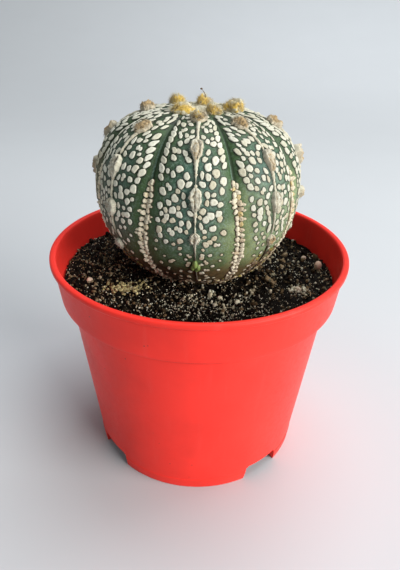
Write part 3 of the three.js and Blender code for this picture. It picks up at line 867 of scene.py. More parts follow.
def strew_grains(ground, soil, rng):
    """Crumbs and grains all over the soil, and clumps of them in some places."""
    shape = Shape()

    def strew(number, sizes, tone, subdivisions, sink, near=None, spread=1.0, rough=0.22):
        """Sizes are a range, tone is a mean and a spread; near and spread place a clump."""
        places = ground.places(rng, number, near, spread)
        size = lerp(*sizes, rng.uniform(size=number) ** 2.2)
        places[:, 2] = ground.height(places) + size * (GRAIN_FLATNESS - sink)
        stretch = rng.uniform(0.7, 1.25, (number, 3)) * np.array([1, 1, GRAIN_FLATNESS])
        forms, faces = lumps(rng, places, size[:, None] * stretch, subdivisions, rough)
        shape.add(forms, faces, tone=np.clip(rng.normal(*tone, number), 0, 1)[:, None])

    strew(soil.crumbs, (0.30, 1.0), (0.12, 0.10), 2, 0.35)
    strew(1100, (0.16, 0.50), (0.22, 0.12), 1, 0.2)
    strew(1300, (0.16, 0.52), (0.42, 0.10), 1, 0.15)
    strew(soil.grit, (0.09, 0.26), (0.88, 0.14), 1, 0.1)
    strew(soil.perlite, (0.26, 0.60), (0.70, 0.14), 2, 0.3)
    # Pale grit and larger pale crumbs in front of the plant
    strew(900, (0.10, 0.30), (0.90, 0.12), 1, 0.1, (2.0, -22.0), (13.0, 5.0))
    strew(42, (0.30, 0.85), (0.80, 0.12), 2, 0.1, (2.0, -17.0), (9.0, 3.5), 0.2)
    # Brown crumbs at the left
    strew(500, (0.16, 0.50), (0.46, 0.10), 1, 0.15, (-27.0, -1.0), (5.0, 11.0))
    # A pale clump, grit, brown crumbs and a greyer clump at the right
    strew(90, (0.16, 0.50), (0.84, 0.12), 2, 0.1, (28.1, -11.3), (1.5, 1.5), 0.2)
    strew(190, (0.10, 0.36), (0.90, 0.12), 1, 0.1, (27.0, -1.0), (6.0, 12.0))
    strew(46, (0.5, 1.1), (0.40, 0.10), 2, 0.3, (25.0, 6.0), (8.0, 12.0), 0.3)
    strew(60, (0.2, 0.5), (0.55, 0.2), 2, 0.1, (21.5, 10.0), (3.4, 3.4), 0.2)
    shape.build("soil_grains", earth(soil, "soil grains"), "soil")


def earth(soil, name):
    """Dark humus, brown bark or pale mineral, by the tone that the mesh carries."""
    finish = Finish(name)
    tone = finish.carried("tone")
    bark, mineral = soil.bark, soil.mineral
    specks = finish.cells(0.5).between(0.12, 0.22, 1, 0) * finish.clouds(1.3, 2, seed=2.0).between(0.48, 0.6)
    stops = [
        (0.0, soil.humus), (0.18, soil.humus), (0.32, shaded(bark, 0.3)), (0.46, bark),
        (0.62, shaded(mineral, 0.55)), (0.80, mineral), (1.0, (0.74, 0.72, 0.58)),
    ]
    uneven_tone = tone + (finish.clouds(0.5, 4, 0.65) - 0.5) * 0.45
    colour = finish.node("ShaderNodeValToRGB", {"stops": stops}, (uneven_tone,))
    colour = finish.coats(colour, (shaded(mineral, 0.7), specks * tone.between(0.2, 0.4, 0.75, 0)))
    roughness = finish.clouds(1.2).between(0.3, 0.7, 0.7, 0.95)
    return finish.surface(colour, roughness, finish.clouds(0.28, 4, 0.6), 0.22, Specular_IOR_Level=0.07)


def lay_moss(ground, rng):
    """The yellowish mossy crust at the left of the plant."""
    number = 240
    places = ground.places(rng, number, (-20.5, -12.4), (2.3, 1.5))
    size = rng.uniform(0.22, 0.55, number)
    places[:, 2] = ground.height(places) + size * 0.25
    forms, faces = lumps(rng, places, size[:, None] * np.array([1, 1, 0.6]), 2, 0.16)
    shape = Shape()
    shape.add(forms, faces, tone=rng.uniform(0, 1, (number, 1)))
    finish = Finish("moss crust")
    colour = finish.coats(
        (0.34, 0.27, 0.10),
        ((0.70, 0.59, 0.31), finish.carried("tone")),
        ((0.05, 0.04, 0.015), finish.clouds(0.5, 3).between(0.45, 0.7) * 0.7),
    )
    shape.build("moss_crust", finish.surface(colour, 0.95, finish.clouds(0.18, 3), 0.12), "soil")


def lay_pebbles(ground, rng):
    """One pinkish pebble by the right wall and a few smaller ones."""
    # x, y, size, tone
    table = np.array([
        [36.2, 2.6, 1.45, 0.2], [27.8, -11.5, 1.0, 0.9], [33.0, 9.0, 0.8, 0.5],
        [-31.0, -9.0, 0.85, 0.4], [-12.0, 27.0, 1.1, 0.7], [20.0, 26.0, 0.95, 0.1],
    ])
    size = table[:, 2:3]
    centres = np.concatenate([table[:, :2], ground.height(table)[:, None] + size * 0.35], axis=1)
    forms, faces = lumps(rng, centres, size * np.array([1.1, 0.95, 0.75]), 3, 0.03)
    shape = Shape()
    shape.add(forms, faces, tone=table[:, 3:])
    finish = Finish("pebble")
    colour = finish.coats(
        (0.56, 0.37, 0.27),
        ((0.58, 0.50, 0.38), finish.carried("tone")),
        ((0.20, 0.11, 0.08), finish.clouds(0.6, 4).between(0.5, 0.75) * 0.6),
    )
    shape.build("pebbles", finish.surface(colour, 0.8, finish.clouds(0.4, 3), 0.08), "soil")


def lay_fibres(ground, rng):
    """Thin dry root fibres lying on the soil."""
    number = 90
    middle = ground.places(rng, number)
    heading = rng.uniform(0, 2 * np.pi, number)
    reach = rng.uniform(1.0, 3.2, number)
    width = rng.uniform(0.07, 0.16, number)
    # Two long ones at the right
    middle[0, :2], heading[0], reach[0], width[0] = (30.4, -13.2), 1.12, 7.0, 0.28
    middle[1, :2], heading[1], reach[1], width[1] = (16.5, 10.5), 0.6, 4.0, 0.26
    stations = np.linspace(-0.5, 0.5, 9)
    _, cosine, sine = circle(5)
    shape = Shape()
    for i in range(number):
        ahead = np.array([np.cos(heading[i]), np.sin(heading[i]), 0])
        aside = np.array([-ahead[1], ahead[0], 0])
        sway = rng.normal(0, 0.12, 3)
        bend = sway[0] * np.sin(stations * 6) + sway[1] * np.cos(stations * 9)
        line = middle[i] + reach[i] * (stations[:, None] * ahead + bend[:, None] * aside)
        line[:, 2] = ground.height(line) + width[i] * 1.1
        line[:, 2] = np.maximum(line[:, 2], line[:, 2].mean() - 0.1)
        taper = width[i] / 2 * (1 - 0.6 * np.abs(stations * 2) ** 3)
        around = cosine[:, None] * aside + sine[:, None] * np.array([0, 0, 1])
        rings = line[:, None] + taper[:, None, None] * around
        tone = rng.uniform(0, 1)
        shape.add_rings(line[0] - 0.1 * ahead, rings, line[-1] + 0.1 * ahead, tone=tone)
    finish = Finish("dry fibre")
    colour = finish.coats(
        (0.30, 0.19, 0.09),
        ((0.60, 0.48, 0.30), finish.carried("tone")),
        ((0.12, 0.07, 0.03), finish.clouds(0.5, 2).between(0.5, 0.8) * 0.6),
    )
    shape.build("root_fibres", finish.surface(colour, 0.85, finish.clouds(0.2), 0.05), "soil")


class CACTUS_OT_soil(CactusOperator, bpy.types.Operator):
    """Fills the pot with dark gritty soil and strews its grains"""

    bl_idname = "star_cactus.soil"
    bl_label = "Soil"

    def execute(self, context):
        settings, form = self.settings(context)
        rng, ground = seeded("soil"), Ground(settings.soil, form.root_x)
        make_bed(ground, settings.soil)
        strew_grains(ground, settings.soil, rng)
        for lay in (lay_moss, lay_pebbles, lay_fibres):
            lay(ground, rng)
        return {"FINISHED"}


# Body
def make_skin(form, flecks, body):
    """The ribbed skin down to the neck, and the taproot below it."""
    rib = np.repeat(np.arange(RIBS), SKIN_COLUMNS)
    across = np.tile(-1 + 2 * np.arange(SKIN_COLUMNS) / SKIN_COLUMNS, RIBS)
    along = np.linspace(0.45, form.neck, SKIN_RINGS)[:, None]
    point, normal, _, _ = form.frame(rib, across, along)
    ease = 1 - smoothstep(along, form.neck - 4, form.neck)
    skin = point + normal * (form.relief(point, along) * ease)[..., None]
    azimuth = lerp(CRESTS[rib], form.edge(rib, across, form.neck), np.abs(across))
    root = [on_circle(radius, azimuth, height, form.root_x) for radius, height in TAPROOT]

    def carried(grid, in_soil):
        """The skin's values, followed by that of the taproot."""
        grid = np.broadcast_to(grid, skin.shape[:2])
        low = np.full((len(root), len(rib)), in_soil)
        return capped(grid[0].mean(), np.concatenate([grid, low]), in_soil)

    shape = Shape()
    shape.add_rings(
        form.top,
        np.concatenate([skin, root]),
        (form.root_x, 0, TAPROOT_TIP),
        along=carried(along / SKIN_LENGTH, 1.0),
        across=carried(across, 0.0),
        shadow=carried(flecks.shadow(skin), 0.0),
    )
    shape.build("cactus_skin", living_skin(body), "cactus_skin", "cactus_body")


def living_skin(body):
    """Green skin with bloom and pale dust, painted shade round the flecks and in the furrows, and corky at
    the base.
    """
    finish = Finish("cactus skin")
    green, dust, cork = body.green, body.dust, body.cork
    along, across, shadow = finish.carried("along", "across", "shadow")
    furrow, east = abs(across), finish.axis(0)
    broad, blotch, fine = finish.clouds(8, 2), finish.clouds(2.4, 3, 0.6), finish.clouds(0.5, 5, 0.7)
    cracks = finish.cells(0.55, "DISTANCE_TO_EDGE").between(0.02, 0.12, 1, 0)
    crest = (furrow + (blotch - 0.5) * 0.5).between(0.25, 0.7, 1, 0)
    bloomy = crest * along.between(0.24, 0.42) * along.between(0.60, 0.74, 1, 0)
    # Pale grey-green low on the ribs, made stronger on the window side as painted light
    pale_and_painted_light = (east + (broad - 0.5) * 12).between(-1, 14, 0.15, 1)
    pale_and_painted_light = pale_and_painted_light * (along + east * 0.006 + (broad - 0.5) * 0.3).between(0.50, 0.70)
    dusty = along.between(0.2, 0.45) * along.between(0.62, 0.82, 1, 0) * furrow.between(0.55, 0.85, 1, 0.15)
    powder = fine.between(0.42, 0.62) * blotch.between(0.3, 0.6, 0.3, 1.0)
    bark = finish.coats(
        cork,
        (shaded(cork, 0.22), finish.clouds(1.1, 4, 0.6).between(0.35, 0.65)),
        # Painted light: lighter olive on the window side
        ((0.20, 0.15, 0.06), east.between(-6, 16) * blotch.between(0.3, 0.6, 0.3, 0.8)),
    )
    colour = finish.coats(
        green,
        (body.bloom, bloomy),
        (shaded(green, 0.5), blotch.between(0.5, 0.8) * 0.5),
        (body.pale, pale_and_painted_light * blotch.between(0.25, 0.6, 0.45, 1.0) * 0.95),
        (dust, powder * dusty.between(0, 1, 0.12, 0.78)),
        (shaded(green, 0.35), cracks * 0.35),
        (dust, fine.between(0.5, 0.66) * broad.between(0.3, 0.7, 0.1, 0.3)),
        # Painted shade round the flecks, beside the felt line and down in the furrows
        (shaded(green, 0.08), shadow * 0.9),
        (shaded(green, 0.12), furrow.between(0.05, 0.115, 1, 0) * along.between(0.5, 0.75, 0.7, 0)),
        (shaded(green, 0.3), furrow.between(0.90, 0.975) * 0.8),
        # Painted shade on the side away from the window, and olive at the far left edge
        ((0.030, 0.034, 0.012), east.between(-26, -8, 0.4, 0)),
        ((0.15, 0.13, 0.055), east.between(-30, -21, 1, 0) * along.between(0.2, 0.5) * 0.75),
        (bark, (along + (blotch - 0.5) * 0.14).between(0.71, 0.81)),
    )
    grain = fine * 0.6 + finish.clouds(0.16, 2) * 0.3
    return finish.surface(
        colour, fine.between(0.3, 0.75, 0.48, 0.7), grain, 0.08, 0.8, Specular_IOR_Level=0.35
    )


class CACTUS_OT_body(CactusOperator, bpy.types.Operator):
    """Grows the ribbed body down to its taproot, with its white flecks"""

    bl_idname = "star_cactus.body"
    bl_label = "Body and flecks"

    def execute(self, context):
        settings, form = self.settings(context)
        flecks = FleckPattern(form, settings.flecks)
        make_skin(form, flecks, settings.body)
        make_flecks(form, flecks, settings.flecks, settings.body.green)
        return {"FINISHED"}


# Flecks and cakes of cork
def squarish(angle, power):
    """Radius of a ring between a circle and a square."""
    return (np.abs(np.cos(angle)) ** power + np.abs(np.sin(angle)) ** power) ** (-1 / power)


def leaning(across, along, lean):
    """Turns places on the skin by a lean in radians."""
    turned_across = across * np.cos(lean) + along * np.sin(lean)
    return turned_across, along * np.cos(lean) - across * np.sin(lean)


def make_flecks(form, flecks, settings, green):
    """Low felt buttons, each with its own ragged outline in a bed of painted shade and a slightly sunken
    middle.
    """
    rng = seeded("outlines")
    rib, aside, along, long, wide, lean = (values[:, None] for values in flecks.table)
    number = len(rib)
    angle, cosine, sine = circle(FLECK_SIDES)
    phase = rng.uniform(0, 2 * np.pi, (number, 4, 1))
    outline = squarish(angle, rng.uniform(1.9, 2.7, (number, 1)))
    swells = [amount * np.cos(turns * angle + phase[:, turns - 2]) for turns, amount in FLECK_SWELLS]
    outline = outline * (1 + sum(swells))
    height = settings.height / MM * np.clip((long + wide) / 1.6, 0.6, 1.2)

    def ring(scale, beyond, rise):
        own = [way * (outline * size * scale + beyond) for way, size in ((sine, wide), (cosine, long))]
        turned = leaning(*own, lean)
        return form.lifted(rib, aside + turned[0], along + turned[1], height * rise)

    rings = np.stack([ring(*level[:3]) for level in FLECK_LEVELS], axis=1)
    bottom, top = (form.lifted(rib, aside, along, height * rise) for rise in (-0.3, 0.76))
    # A brightness of 0 at the two outer levels paints shade round the fleck
    bright = capped(0, np.repeat([level[3] for level in FLECK_LEVELS], FLECK_SIDES), 0.55)
    shape = Shape()
    tone = rng.uniform(0, 1, (number, 1))
    shape.add_rings(bottom, rings, top, tone=tone, inner=bright, along=along / SKIN_LENGTH)
    shape.build("white_flecks", fleck_felt(settings.felt, settings.aged, green), "cactus_skin")


def fleck_felt(felt, aged, green):
    """Pale mottled felt, yellower on old flecks, with painted shade at their rims."""
    finish = Finish("fleck felt")
    own, low, inner = finish.carried("tone", "along", "inner")
    east = finish.axis(0)
    old = (low + (own - 0.5) * 0.5).between(0.42, 0.95)
    spots = finish.clouds(0.28, 3, 0.7).between(0.54, 0.72)
    mottle = finish.clouds(0.4, 4, 0.65).between(0.50, 0.74)
    colour = finish.coats(
        shaded(felt, 1.12),
        ((0.50, 0.49, 0.38), own),
        (shaded(aged, 0.7), spots * 0.42),
        (aged, old * 0.75),
        (shaded(aged, 0.62), mottle * old.between(0, 1, 0.15, 0.7)),
        (shaded(aged, 0.75), inner.between(0.55, 0.95, 1, 0) * 0.3),
        # Painted light on the side away from the window, painted shade towards it, and yellower at the far
        # left edge
        (shaded(felt, 1.6), east.between(-20, 0, 0.38, 0)),
        (shaded(felt, 0.4), east.between(0, 20, 0.04, 0.26)),
        ((0.40, 0.34, 0.17), east.between(-30, -23, 0.6, 0)),
    )
    # Painted shade: a dark green bed at the rim of each fleck
    colour = finish.coats(shaded(green, 0.14), (colour, inner.between(0.1, 0.55)))
    return finish.surface(colour, 0.92, finish.clouds(0.2, 4, 0.65), 0.12, Specular_IOR_Level=0.2)


class FleckPattern:
    """Where the flecks sit: rib, distance from the crest, distance from the crown, half length, half width
    and lean. They ring the areoles, border the crest line and the bare strips along the furrows, run out
    from the crown in narrow strips, and fill what is left."""

    def __init__(self, form, settings):
        self.form = form
        self.radius, self.space = settings.radius / MM, settings.space / MM
        self.rng = seeded("flecks")
        table = np.array([row for rib in range(RIBS) for row in self.on_rib(rib)]).T
        self.table = (table[0].astype(int), *table[1:])

    @staticmethod
    def bare_strip(along):
        """Width of the skin without flecks beside a furrow; low down it holds the cork row."""
        upper = lerp(0.7, 1.4, smoothstep(along, 12, 24))
        return upper + 1.7 * smoothstep(along, CORK_START - 3, CORK_START + 2)

    def fits(self, placed, rib, aside, along, long, wide, near=1.0):
        """Whether a fleck stays clear of the furrow, the crest line, the areoles and the others."""
        width = self.form.half_width(rib, 1 if aside > 0 else -1, along)
        if width - abs(aside) < self.bare_strip(along) + wide * 0.9 or abs(aside) < wide + 0.55:
            return False
        for n in areoles_of(rib, 0):
            away = along - areole_distance(n)
            if math.hypot(aside / (1.65 + wide), away / ((2.6 if away < 0 else 3.1) + long)) < 1:
                return False
        if not placed:
            return True
        _, other_aside, other_along, other_long, other_wide, _ = np.array(placed).T
        sideways = (other_aside - aside) / (other_wide + wide + self.space * near)
        lengthwise = (other_along - along) / (other_long + long + self.space * near)
        return np.all(sideways * sideways + lengthwise * lengthwise > 1)

    def on_rib(self, rib):
        rng, placed = self.rng, []

        def put(aside, along, long, wide, lean=0.0, near=1.0, twin=0.0):
            """Places a fleck where it fits, and at times a twin beside it."""
            if not self.fits(placed, rib, aside, along, long, wide, near):
                return
            placed.append((rib, aside, along, long, wide, lean))
            if rng.uniform() < twin:
                turn, size = rng.uniform(0, 2 * np.pi), rng.uniform(0.72, 0.98)
                beside = aside + math.cos(turn) * wide * 1.62
                below = along + math.sin(turn) * long * 1.62
                if self.fits(placed[:-1], rib, beside, below, long * size, wide * size, 0.2):
                    lean = lean + rng.uniform(-0.3, 0.3)
                    placed.append((rib, beside, below, long * size, wide * size, lean))

        numbers = areoles_of(rib, 0)
        self.ring_areoles(numbers, put)
        self.flank_line(numbers, put)
        self.border_furrows(rib, put)
        self.fill(rib, put)
        return placed

    def ring_areoles(self, numbers, put):
        """Flecks on an oval round each areole, but not round the first and the lowest ones."""
        rng, size = self.rng, self.radius
        for here in map(areole_distance, numbers):
            if not 11 < here < 40:
                continue
            for side in (-1, 1):
                for turn in (0.5, 0.95, 1.4, 1.85, 2.35, 2.8):
                    turn = turn + rng.uniform(-0.12, 0.12)
                    aside, along = side * math.sin(turn) * 2.7, here - math.cos(turn) * 3.7
                    scale = rng.uniform(0.72, 1.02)
                    lean = -side * (turn - math.pi / 2) * 0.7
                    put(aside, along, size * scale * 1.15, size * scale * 0.82, lean, 0.1)

    def flank_line(self, numbers, put):
        """A row of flecks at each side of the felt line, between the areoles."""
        rng, size = self.rng, self.radius
        for before, after in zip(numbers, numbers[1:]):
            start, end = areole_distance(before) + 3.8, areole_distance(after) - 3.0
            for side in (-1, 1):
                along = start + rng.uniform(0, 0.6)
                while along < end:
                    scale = rng.uniform(0.75, 1.1)
                    aside = side * (1.4 + rng.uniform(-0.1, 0.3))
                    lean = side * rng.uniform(-0.25, 0.45)
                    put(aside, along, size * scale * 1.35, size * scale * 0.66, lean, 0.3)
                    along += rng.uniform(1.9, 2.8)

    def border_furrows(self, rib, put):
        """Narrow strips near the crown, then a close row of flecks, along the edge of the bare strip."""
        rng, size = self.rng, self.radius
        for side in (-1, 1):
            along = 8.6 + rng.uniform(0, 0.6)
            while along < 33:
                young = 1 - smoothstep(along, 12, 19)
                scale = rng.uniform(0.8, 1.12)
                wide = size * lerp(scale * 0.95, 0.42, young)
                long = size * lerp(scale * 1.1, rng.uniform(1.5, 2.1), young)
                aside = side * (self.form.half_width(rib, side, along) - self.bare_strip(along) - wide * 0.92)
                lean = side * (0.3 * young + rng.uniform(-0.15, 0.15))
                put(aside, along, long, wide, lean, lerp(0.05, -0.5, young))
                along += long * rng.uniform(1.85, 2.3)

    def fill(self, rib, put):
        """Flecks of all sizes in the room that is left, fewer low down."""
        rng = self.rng
        for _ in range(FLECK_TRIES):
            along = 9 + 58 * rng.uniform()
            side = rng.choice((-1, 1))
            out = rng.uniform()
            young, old = 1 - smoothstep(along, 12, 26), smoothstep(along, 38, 50)
            if rng.uniform() < old * (0.72 + 0.27 * out):
                continue
            scale = rng.uniform(0.58, 1.16) * lerp(1, 0.95, young) * lerp(1, 0.75 - 0.25 * out, old)
            stretch = lerp(rng.uniform(0.95, 1.25), rng.uniform(1.3, 2.3), young)
            long, wide = self.radius * scale * stretch**0.5, self.radius * scale / stretch**0.5
            lean = side * young * (0.15 + 0.6 * out) + rng.uniform(-0.4, 0.4) * (1 - 0.7 * young)
            near = lerp(1.0, 0.3 if rib in (0, 1, 7) else -0.5, young) + old * (0.1 + 7 * out)
            put(side * out * self.form.half_width(rib, side, along), along, long, wide, lean, near, 0.34)

    def shadow(self, skin):
        """How close each skin point lies to a fleck's edge, from 0 to 1."""
        rib, aside, along, long, wide, _ = self.table
        centres = self.form.lifted(rib, aside, along, 0.0)
        tree = kdtree.KDTree(len(centres))
        for i, centre in enumerate(centres):
            tree.insert(centre, i)
        tree.balance()
        reach = (long + wide) / 2
        found = [tree.find(point) for point in skin.reshape(-1, 3).tolist()]
        gap = np.array([distance - reach[nearest] for _, nearest, distance in found])
        return np.exp(-((np.maximum(gap, 0) / 0.38) ** 2)).reshape(skin.shape[:-1])


# Areoles
def closed(rings):
    """Rings with the middles of the first and the last one as end points."""
    return rings[0].mean(axis=0), rings, rings[-1].mean(axis=0)


def add_line(shape, form, areoles, rib, rng):
    """The ragged ridge of felt along the crest, widest below each pad and broken here and there."""
    start, step = areole_distance(areoles_of(rib)[0]), RIBS * AREOLE_STEP
    along = np.arange(start, LINE_END, 0.27)
    place = np.stack([along, np.full_like(along, rib * 7.0), 0 * along], axis=1)
    onward = np.mod(along - start, step) / step
    gaps = smoothstep(waves(place, 2.6, 30.0), 0.05, 0.35) * smoothstep(onward, 0.35, 0.8)
    pinch = lerp(1.15, 0.62, onward) * (1 + 0.35 * waves(place, 1.2)) - 0.7 * gaps
    half = areoles.line_width / MM / 2 * np.clip(pinch, 0.10, 1.3)
    half = half * lerp(1, 0.55, smoothstep(along, 35, 42)) * lerp(1, 0.5, smoothstep(along, 44, 54))
    half = half[:, None] * uneven(rng, (len(along), 2), 0.22)
    height = areoles.line_height / MM * np.clip(pinch, 0.3, 1) * (1 + 0.5 * waves(place, 0.55, 3.0))
    rings = [
        form.lifted(rib, half[:, int(across > 0)] * across, along, 0.06 + height * rise)
        for across, rise in LINE_SECTION
    ]
    soiled = capped(0, np.repeat(smoothstep(along, 43, 50), len(rings)), 1)
    rings = np.stack(rings, axis=1)
    shape.add_rings(*closed(rings), fold=0.4, brown=soiled, hair=0.0, line=1.0, rim=0.0)


def pad_sizes(areoles, here):
    """Half length above and below the middle, half width, height and age of the pad at a distance."""
    age, last = smoothstep(here, 15, 24), smoothstep(here, 36, 43)
    size = lerp(1, 0.84, last)
    above = lerp(1.9, areoles.pad_length / MM * 0.42, age) * lerp(1, 0.58, last)
    below = lerp(1.9, areoles.pad_length / MM * 0.56, age) * lerp(1, 0.5, last)
    half = lerp(1.95, areoles.pad_width / MM / 2, age) * size
    tall = areoles.pad_height / MM * lerp(1.15, 1.0, age) * size
    return above, below, half, tall, age


def add_pad(shape, form, areoles, rib, n, rng):
    """A woolly pad: a folded cushion when young, later an almond with a rim and fine grooves."""
    here = areole_distance(n)
    above, below, half, tall, age = pad_sizes(areoles, here)
    broad, high = BROAD_PADS.get(n, (1, 1))
    half, tall = half * broad, tall * high
    down = np.linspace(-0.995, 0.995, PAD_ROWS)[:, None]
    across = np.sin(np.linspace(-np.pi / 2, np.pi / 2, PAD_COLUMNS))[None]
    # Widest a little above the middle, pointed at the ends once grown
    drop = rng.uniform(0.06, 0.3) * age
    body = 1 - np.abs(down + drop * (1 - down * down)) ** lerp(2.3, 1.85, age)
    body = np.clip(body, 0, 1) ** lerp(0.55, 0.7, age)
    ragged = uneven(rng, (PAD_ROWS, 2), 0.06 * high)
    for swells, amount in ((7, 0.08), (13, 0.05)):
        ragged = ragged + amount * high * np.sin(swells * down + rng.uniform(0, 6.3, (1, 2)))
    aside = across * half * body * np.where(across < 0, ragged[:, :1], ragged[:, 1:])
    along, aside = np.broadcast_arrays(here + np.where(down < 0, above, below) * down, aside)
    flat = form.lifted(rib, aside, along, 0.0)
    dome = np.sqrt(np.clip(1 - across**2, 0, 1)) * body**0.6
    plateau = (1 - np.abs(across) ** 5) * np.clip(body * 1.5, 0, 1)
    rim = np.exp(-(((np.abs(across) - 0.8) / 0.16) ** 2)) * np.clip(body * 1.4, 0, 1)
    # Petal-like folds wind round the middle of a young pad; a grown one has a few wavy grooves
    swirl = np.pi * np.hypot(aside, along - here) / 0.62 + np.arctan2(aside, along - here) / 2
    folds = 1 - smoothstep(np.abs(np.sin(swirl + 3.0 * waves(flat, 1.1, 40.0 + n) + n)), 0.15, 0.85)
    grooves = smoothstep(np.sin(across * 6.5 + 3.4 * waves(flat, 1.5, 11.0 + n) + n), 0.1, 0.95)
    fuzz = high**2 * waves(flat, 0.45, 7.0)
    knots = 1 + 0.35 * high**2 * waves(flat, 1.4, 60.0 + n)
    young_lift = tall * dome * knots * 0.9 - 0.55 * folds * dome + 0.30 * fuzz * dome
    old_lift = tall * (0.75 * plateau * dome**0.4 + 0.25 * rim) * knots
    old_lift = old_lift - 0.42 * grooves * plateau * (1 - rim) + 0.2 * fuzz * plateau
    lift = 0.04 + np.maximum(lerp(young_lift, old_lift, age), -0.02)
    under = form.lifted(rib, aside[:, [-1, 0]] * 0.7, along[:, [-1, 0]], -0.3)
    rings = np.concatenate([form.lifted(rib, aside, along, lift), under], axis=1)
    faded = np.clip(1 - smoothstep(here, 16, 25) + rng.normal(0.1, 0.15), 0, 1)
    brown = BROWN_PADS.get(n, faded)
    grids = {
        "fold": lerp(folds, grooves * (1 - rim), age),
        "brown": np.clip(brown * (1 + 0.55 * down * age) + 0 * aside, 0, 1),
        "rim": np.clip(np.abs(across) ** 3 + (1 - body) * 0.6, 0, 1),
    }
    values = {name: capped(0, np.pad(grid, ((0, 0), (0, 2))), 0) for name, grid in grids.items()}
    shape.add_rings(*closed(rings), hair=0.0, line=0.0, **values)
    add_hairs(shape, form, areoles, rib, here, brown, rng)


def add_hairs(shape, form, areoles, rib, here, brown, rng):
    """Short hairs over a pad that lean outwards and, on a grown pad, a little down."""
    above, below, half, tall, age = pad_sizes(areoles, here)
    number = int(areoles.hairs * lerp(1.6, 0.9, age))
    turn = rng.uniform(0, 2 * np.pi, number)
    sine, cosine = np.sin(turn), np.cos(turn)
    radius = rng.uniform(0.15, 1.0, number) ** lerp(0.5, 0.3, age)
    aside = sine * radius * half * lerp(0.98, 0.85, age)
    along = here - cosine * radius * np.where(cosine > 0, above, below) * lerp(0.95, 0.8, age)
    roots = form.lifted(rib, aside, along, tall * np.sqrt(1 - radius**2 * 0.96) * 0.85)
    _, normal, sideways, down = form.frame(rib, form.across_at(rib, aside, along), along)
    out = sine[:, None] * sideways - cosine[:, None] * down
    wild = rng.normal(size=(number, 3))
    aims = out * 0.9 + normal * lerp(0.7, 0.35, age) + down * 0.4 * age + wild * 0.45
    lengths = np.array([0.35, 0.95]) * lerp(1.2, 0.85, age)
    forms = hairs(rng, roots, aims, lengths, (0.06, 0.11), 0.2)
    tips = 0.3 + 0.7 * HAIR_ALONG
    shape.add(forms, HAIR_FACES, fold=0.0, brown=brown, hair=tips, line=0.0, rim=radius[:, None])


def areole_wool(areoles):
    """Grey wool on grown pads, brown on young ones, with painted shade in their folds and grooves, and the
    felt of the crest line.
    """
    finish = Finish("areole wool")
    old, young, felt = areoles.old_wool, areoles.young_wool, areoles.line_felt
    fold, brown, tip, line, rim = finish.carried("fold", "brown", "hair", "line", "rim")
    mottle = finish.clouds(0.6, 4, 0.65)
    # Painted shade in the folds of young pads and the grooves of grown ones
    painted_fold_shade = fold + (mottle - 0.5) * 0.4
    fresh = finish.coats(
        young,
        (shaded(young, 1.35), mottle.between(0.4, 0.7)),
        (shaded(young, 0.16), painted_fold_shade.between(0.35, 0.9) * 0.9),
        ((0.50, 0.45, 0.34), (rim + (mottle - 0.5) * 0.6).between(0.35, 0.85) * 0.85),
    )
    grey = finish.coats(
        old,
        (shaded(young, 0.9), mottle.between(0.42, 0.66) * 0.6),
        (shaded(young, 0.45), painted_fold_shade.between(0.4, 0.95) * 0.7),
        (felt, rim.between(0.35, 0.75) * 0.8),
    )
    lined = finish.coats(
        felt,
        (shaded(young, 0.9), mottle.between(0.45, 0.72) * 0.75),
        ((0.055, 0.042, 0.02), brown),
    )
    colour = finish.coats(
        grey,
        (fresh, (brown + (mottle - 0.5) * 0.5).between(0.2, 0.7)),
        ((0.50, 0.46, 0.35), tip.between(0.3, 1.0) * 0.5),
        (lined, line),
    )
    return finish.surface(
        colour, 0.95, finish.clouds(0.16, 3, 0.6), 0.10,
        Specular_IOR_Level=0.15, Sheen_Weight=0.2, Sheen_Roughness=0.5,
    )


class CACTUS_OT_areoles(CactusOperator, bpy.types.Operator):
    """Lays the felt line and the woolly areole pads along the crest of each rib"""

    bl_idname = "star_cactus.areoles"
    bl_label = "Areole lines"

    def execute(self, context):
        settings, form = self.settings(context)
        wool = areole_wool(settings.areoles)
        for rib in range(RIBS):
            rng, shape = seeded("areoles", rib), Shape()
            add_line(shape, form, settings.areoles, rib, rng)
            for n in areoles_of(rib):
                add_pad(shape, form, settings.areoles, rib, n, rng)
            shape.build(f"areole_felt_{rib + 1}", wool, "areole_wool", f"areole_line_{rib + 1}")
        return {"FINISHED"}


# Crown
def add_felt(shape, form, crown, rng):
    """A low uneven cushion of felt over the growing point, drawn out along the ribs."""
    azimuth = np.arange(FELT_SIDES) * 360 / FELT_SIDES
    away = np.abs((azimuth[:, None] - CRESTS_AT_CROWN + 180) % 360 - 180).min(axis=1)
    outer = crown.felt_radius / MM * lerp(1.0, 0.66, smoothstep(away, 6, 20))
    rho = np.linspace(1, 0.06, FELT_RINGS)[:, None]
    along = rho * outer * uneven(rng, FELT_SIDES, 0.07, 1.4)
    rings = on_circle(form.radius_at(along), azimuth, form.height_at(along), AXIS_X)
    lift = 0.75 * (1 - rho**3) + 0.35 * waves(rings, 1.3, 5.0) + 0.2 * waves(rings, 0.5, 2.0)
    rings[..., 2] += np.maximum(lift, 0.02)
    shape.add_rings(form.top, rings, form.top + [0, 0, 0.8], gold=0.0, hair=0.0)
    turn = rng.uniform(0, 360, FELT_HAIRS)
    reach = np.interp(turn, azimuth, outer) * np.sqrt(rng.uniform(0, 1, FELT_HAIRS))
    roots = on_circle(form.radius_at(reach), turn, form.height_at(reach) + 0.3, AXIS_X)
    aims = np.array([0, 0, 0.8]) + rng.normal(0, 0.6, (FELT_HAIRS, 3))
    shape.add(hairs(rng, roots, aims, (0.5, 1.2), (0.05, 0.09), 0.3), HAIR_FACES, gold=0.0, hair=HAIR_ALONG)


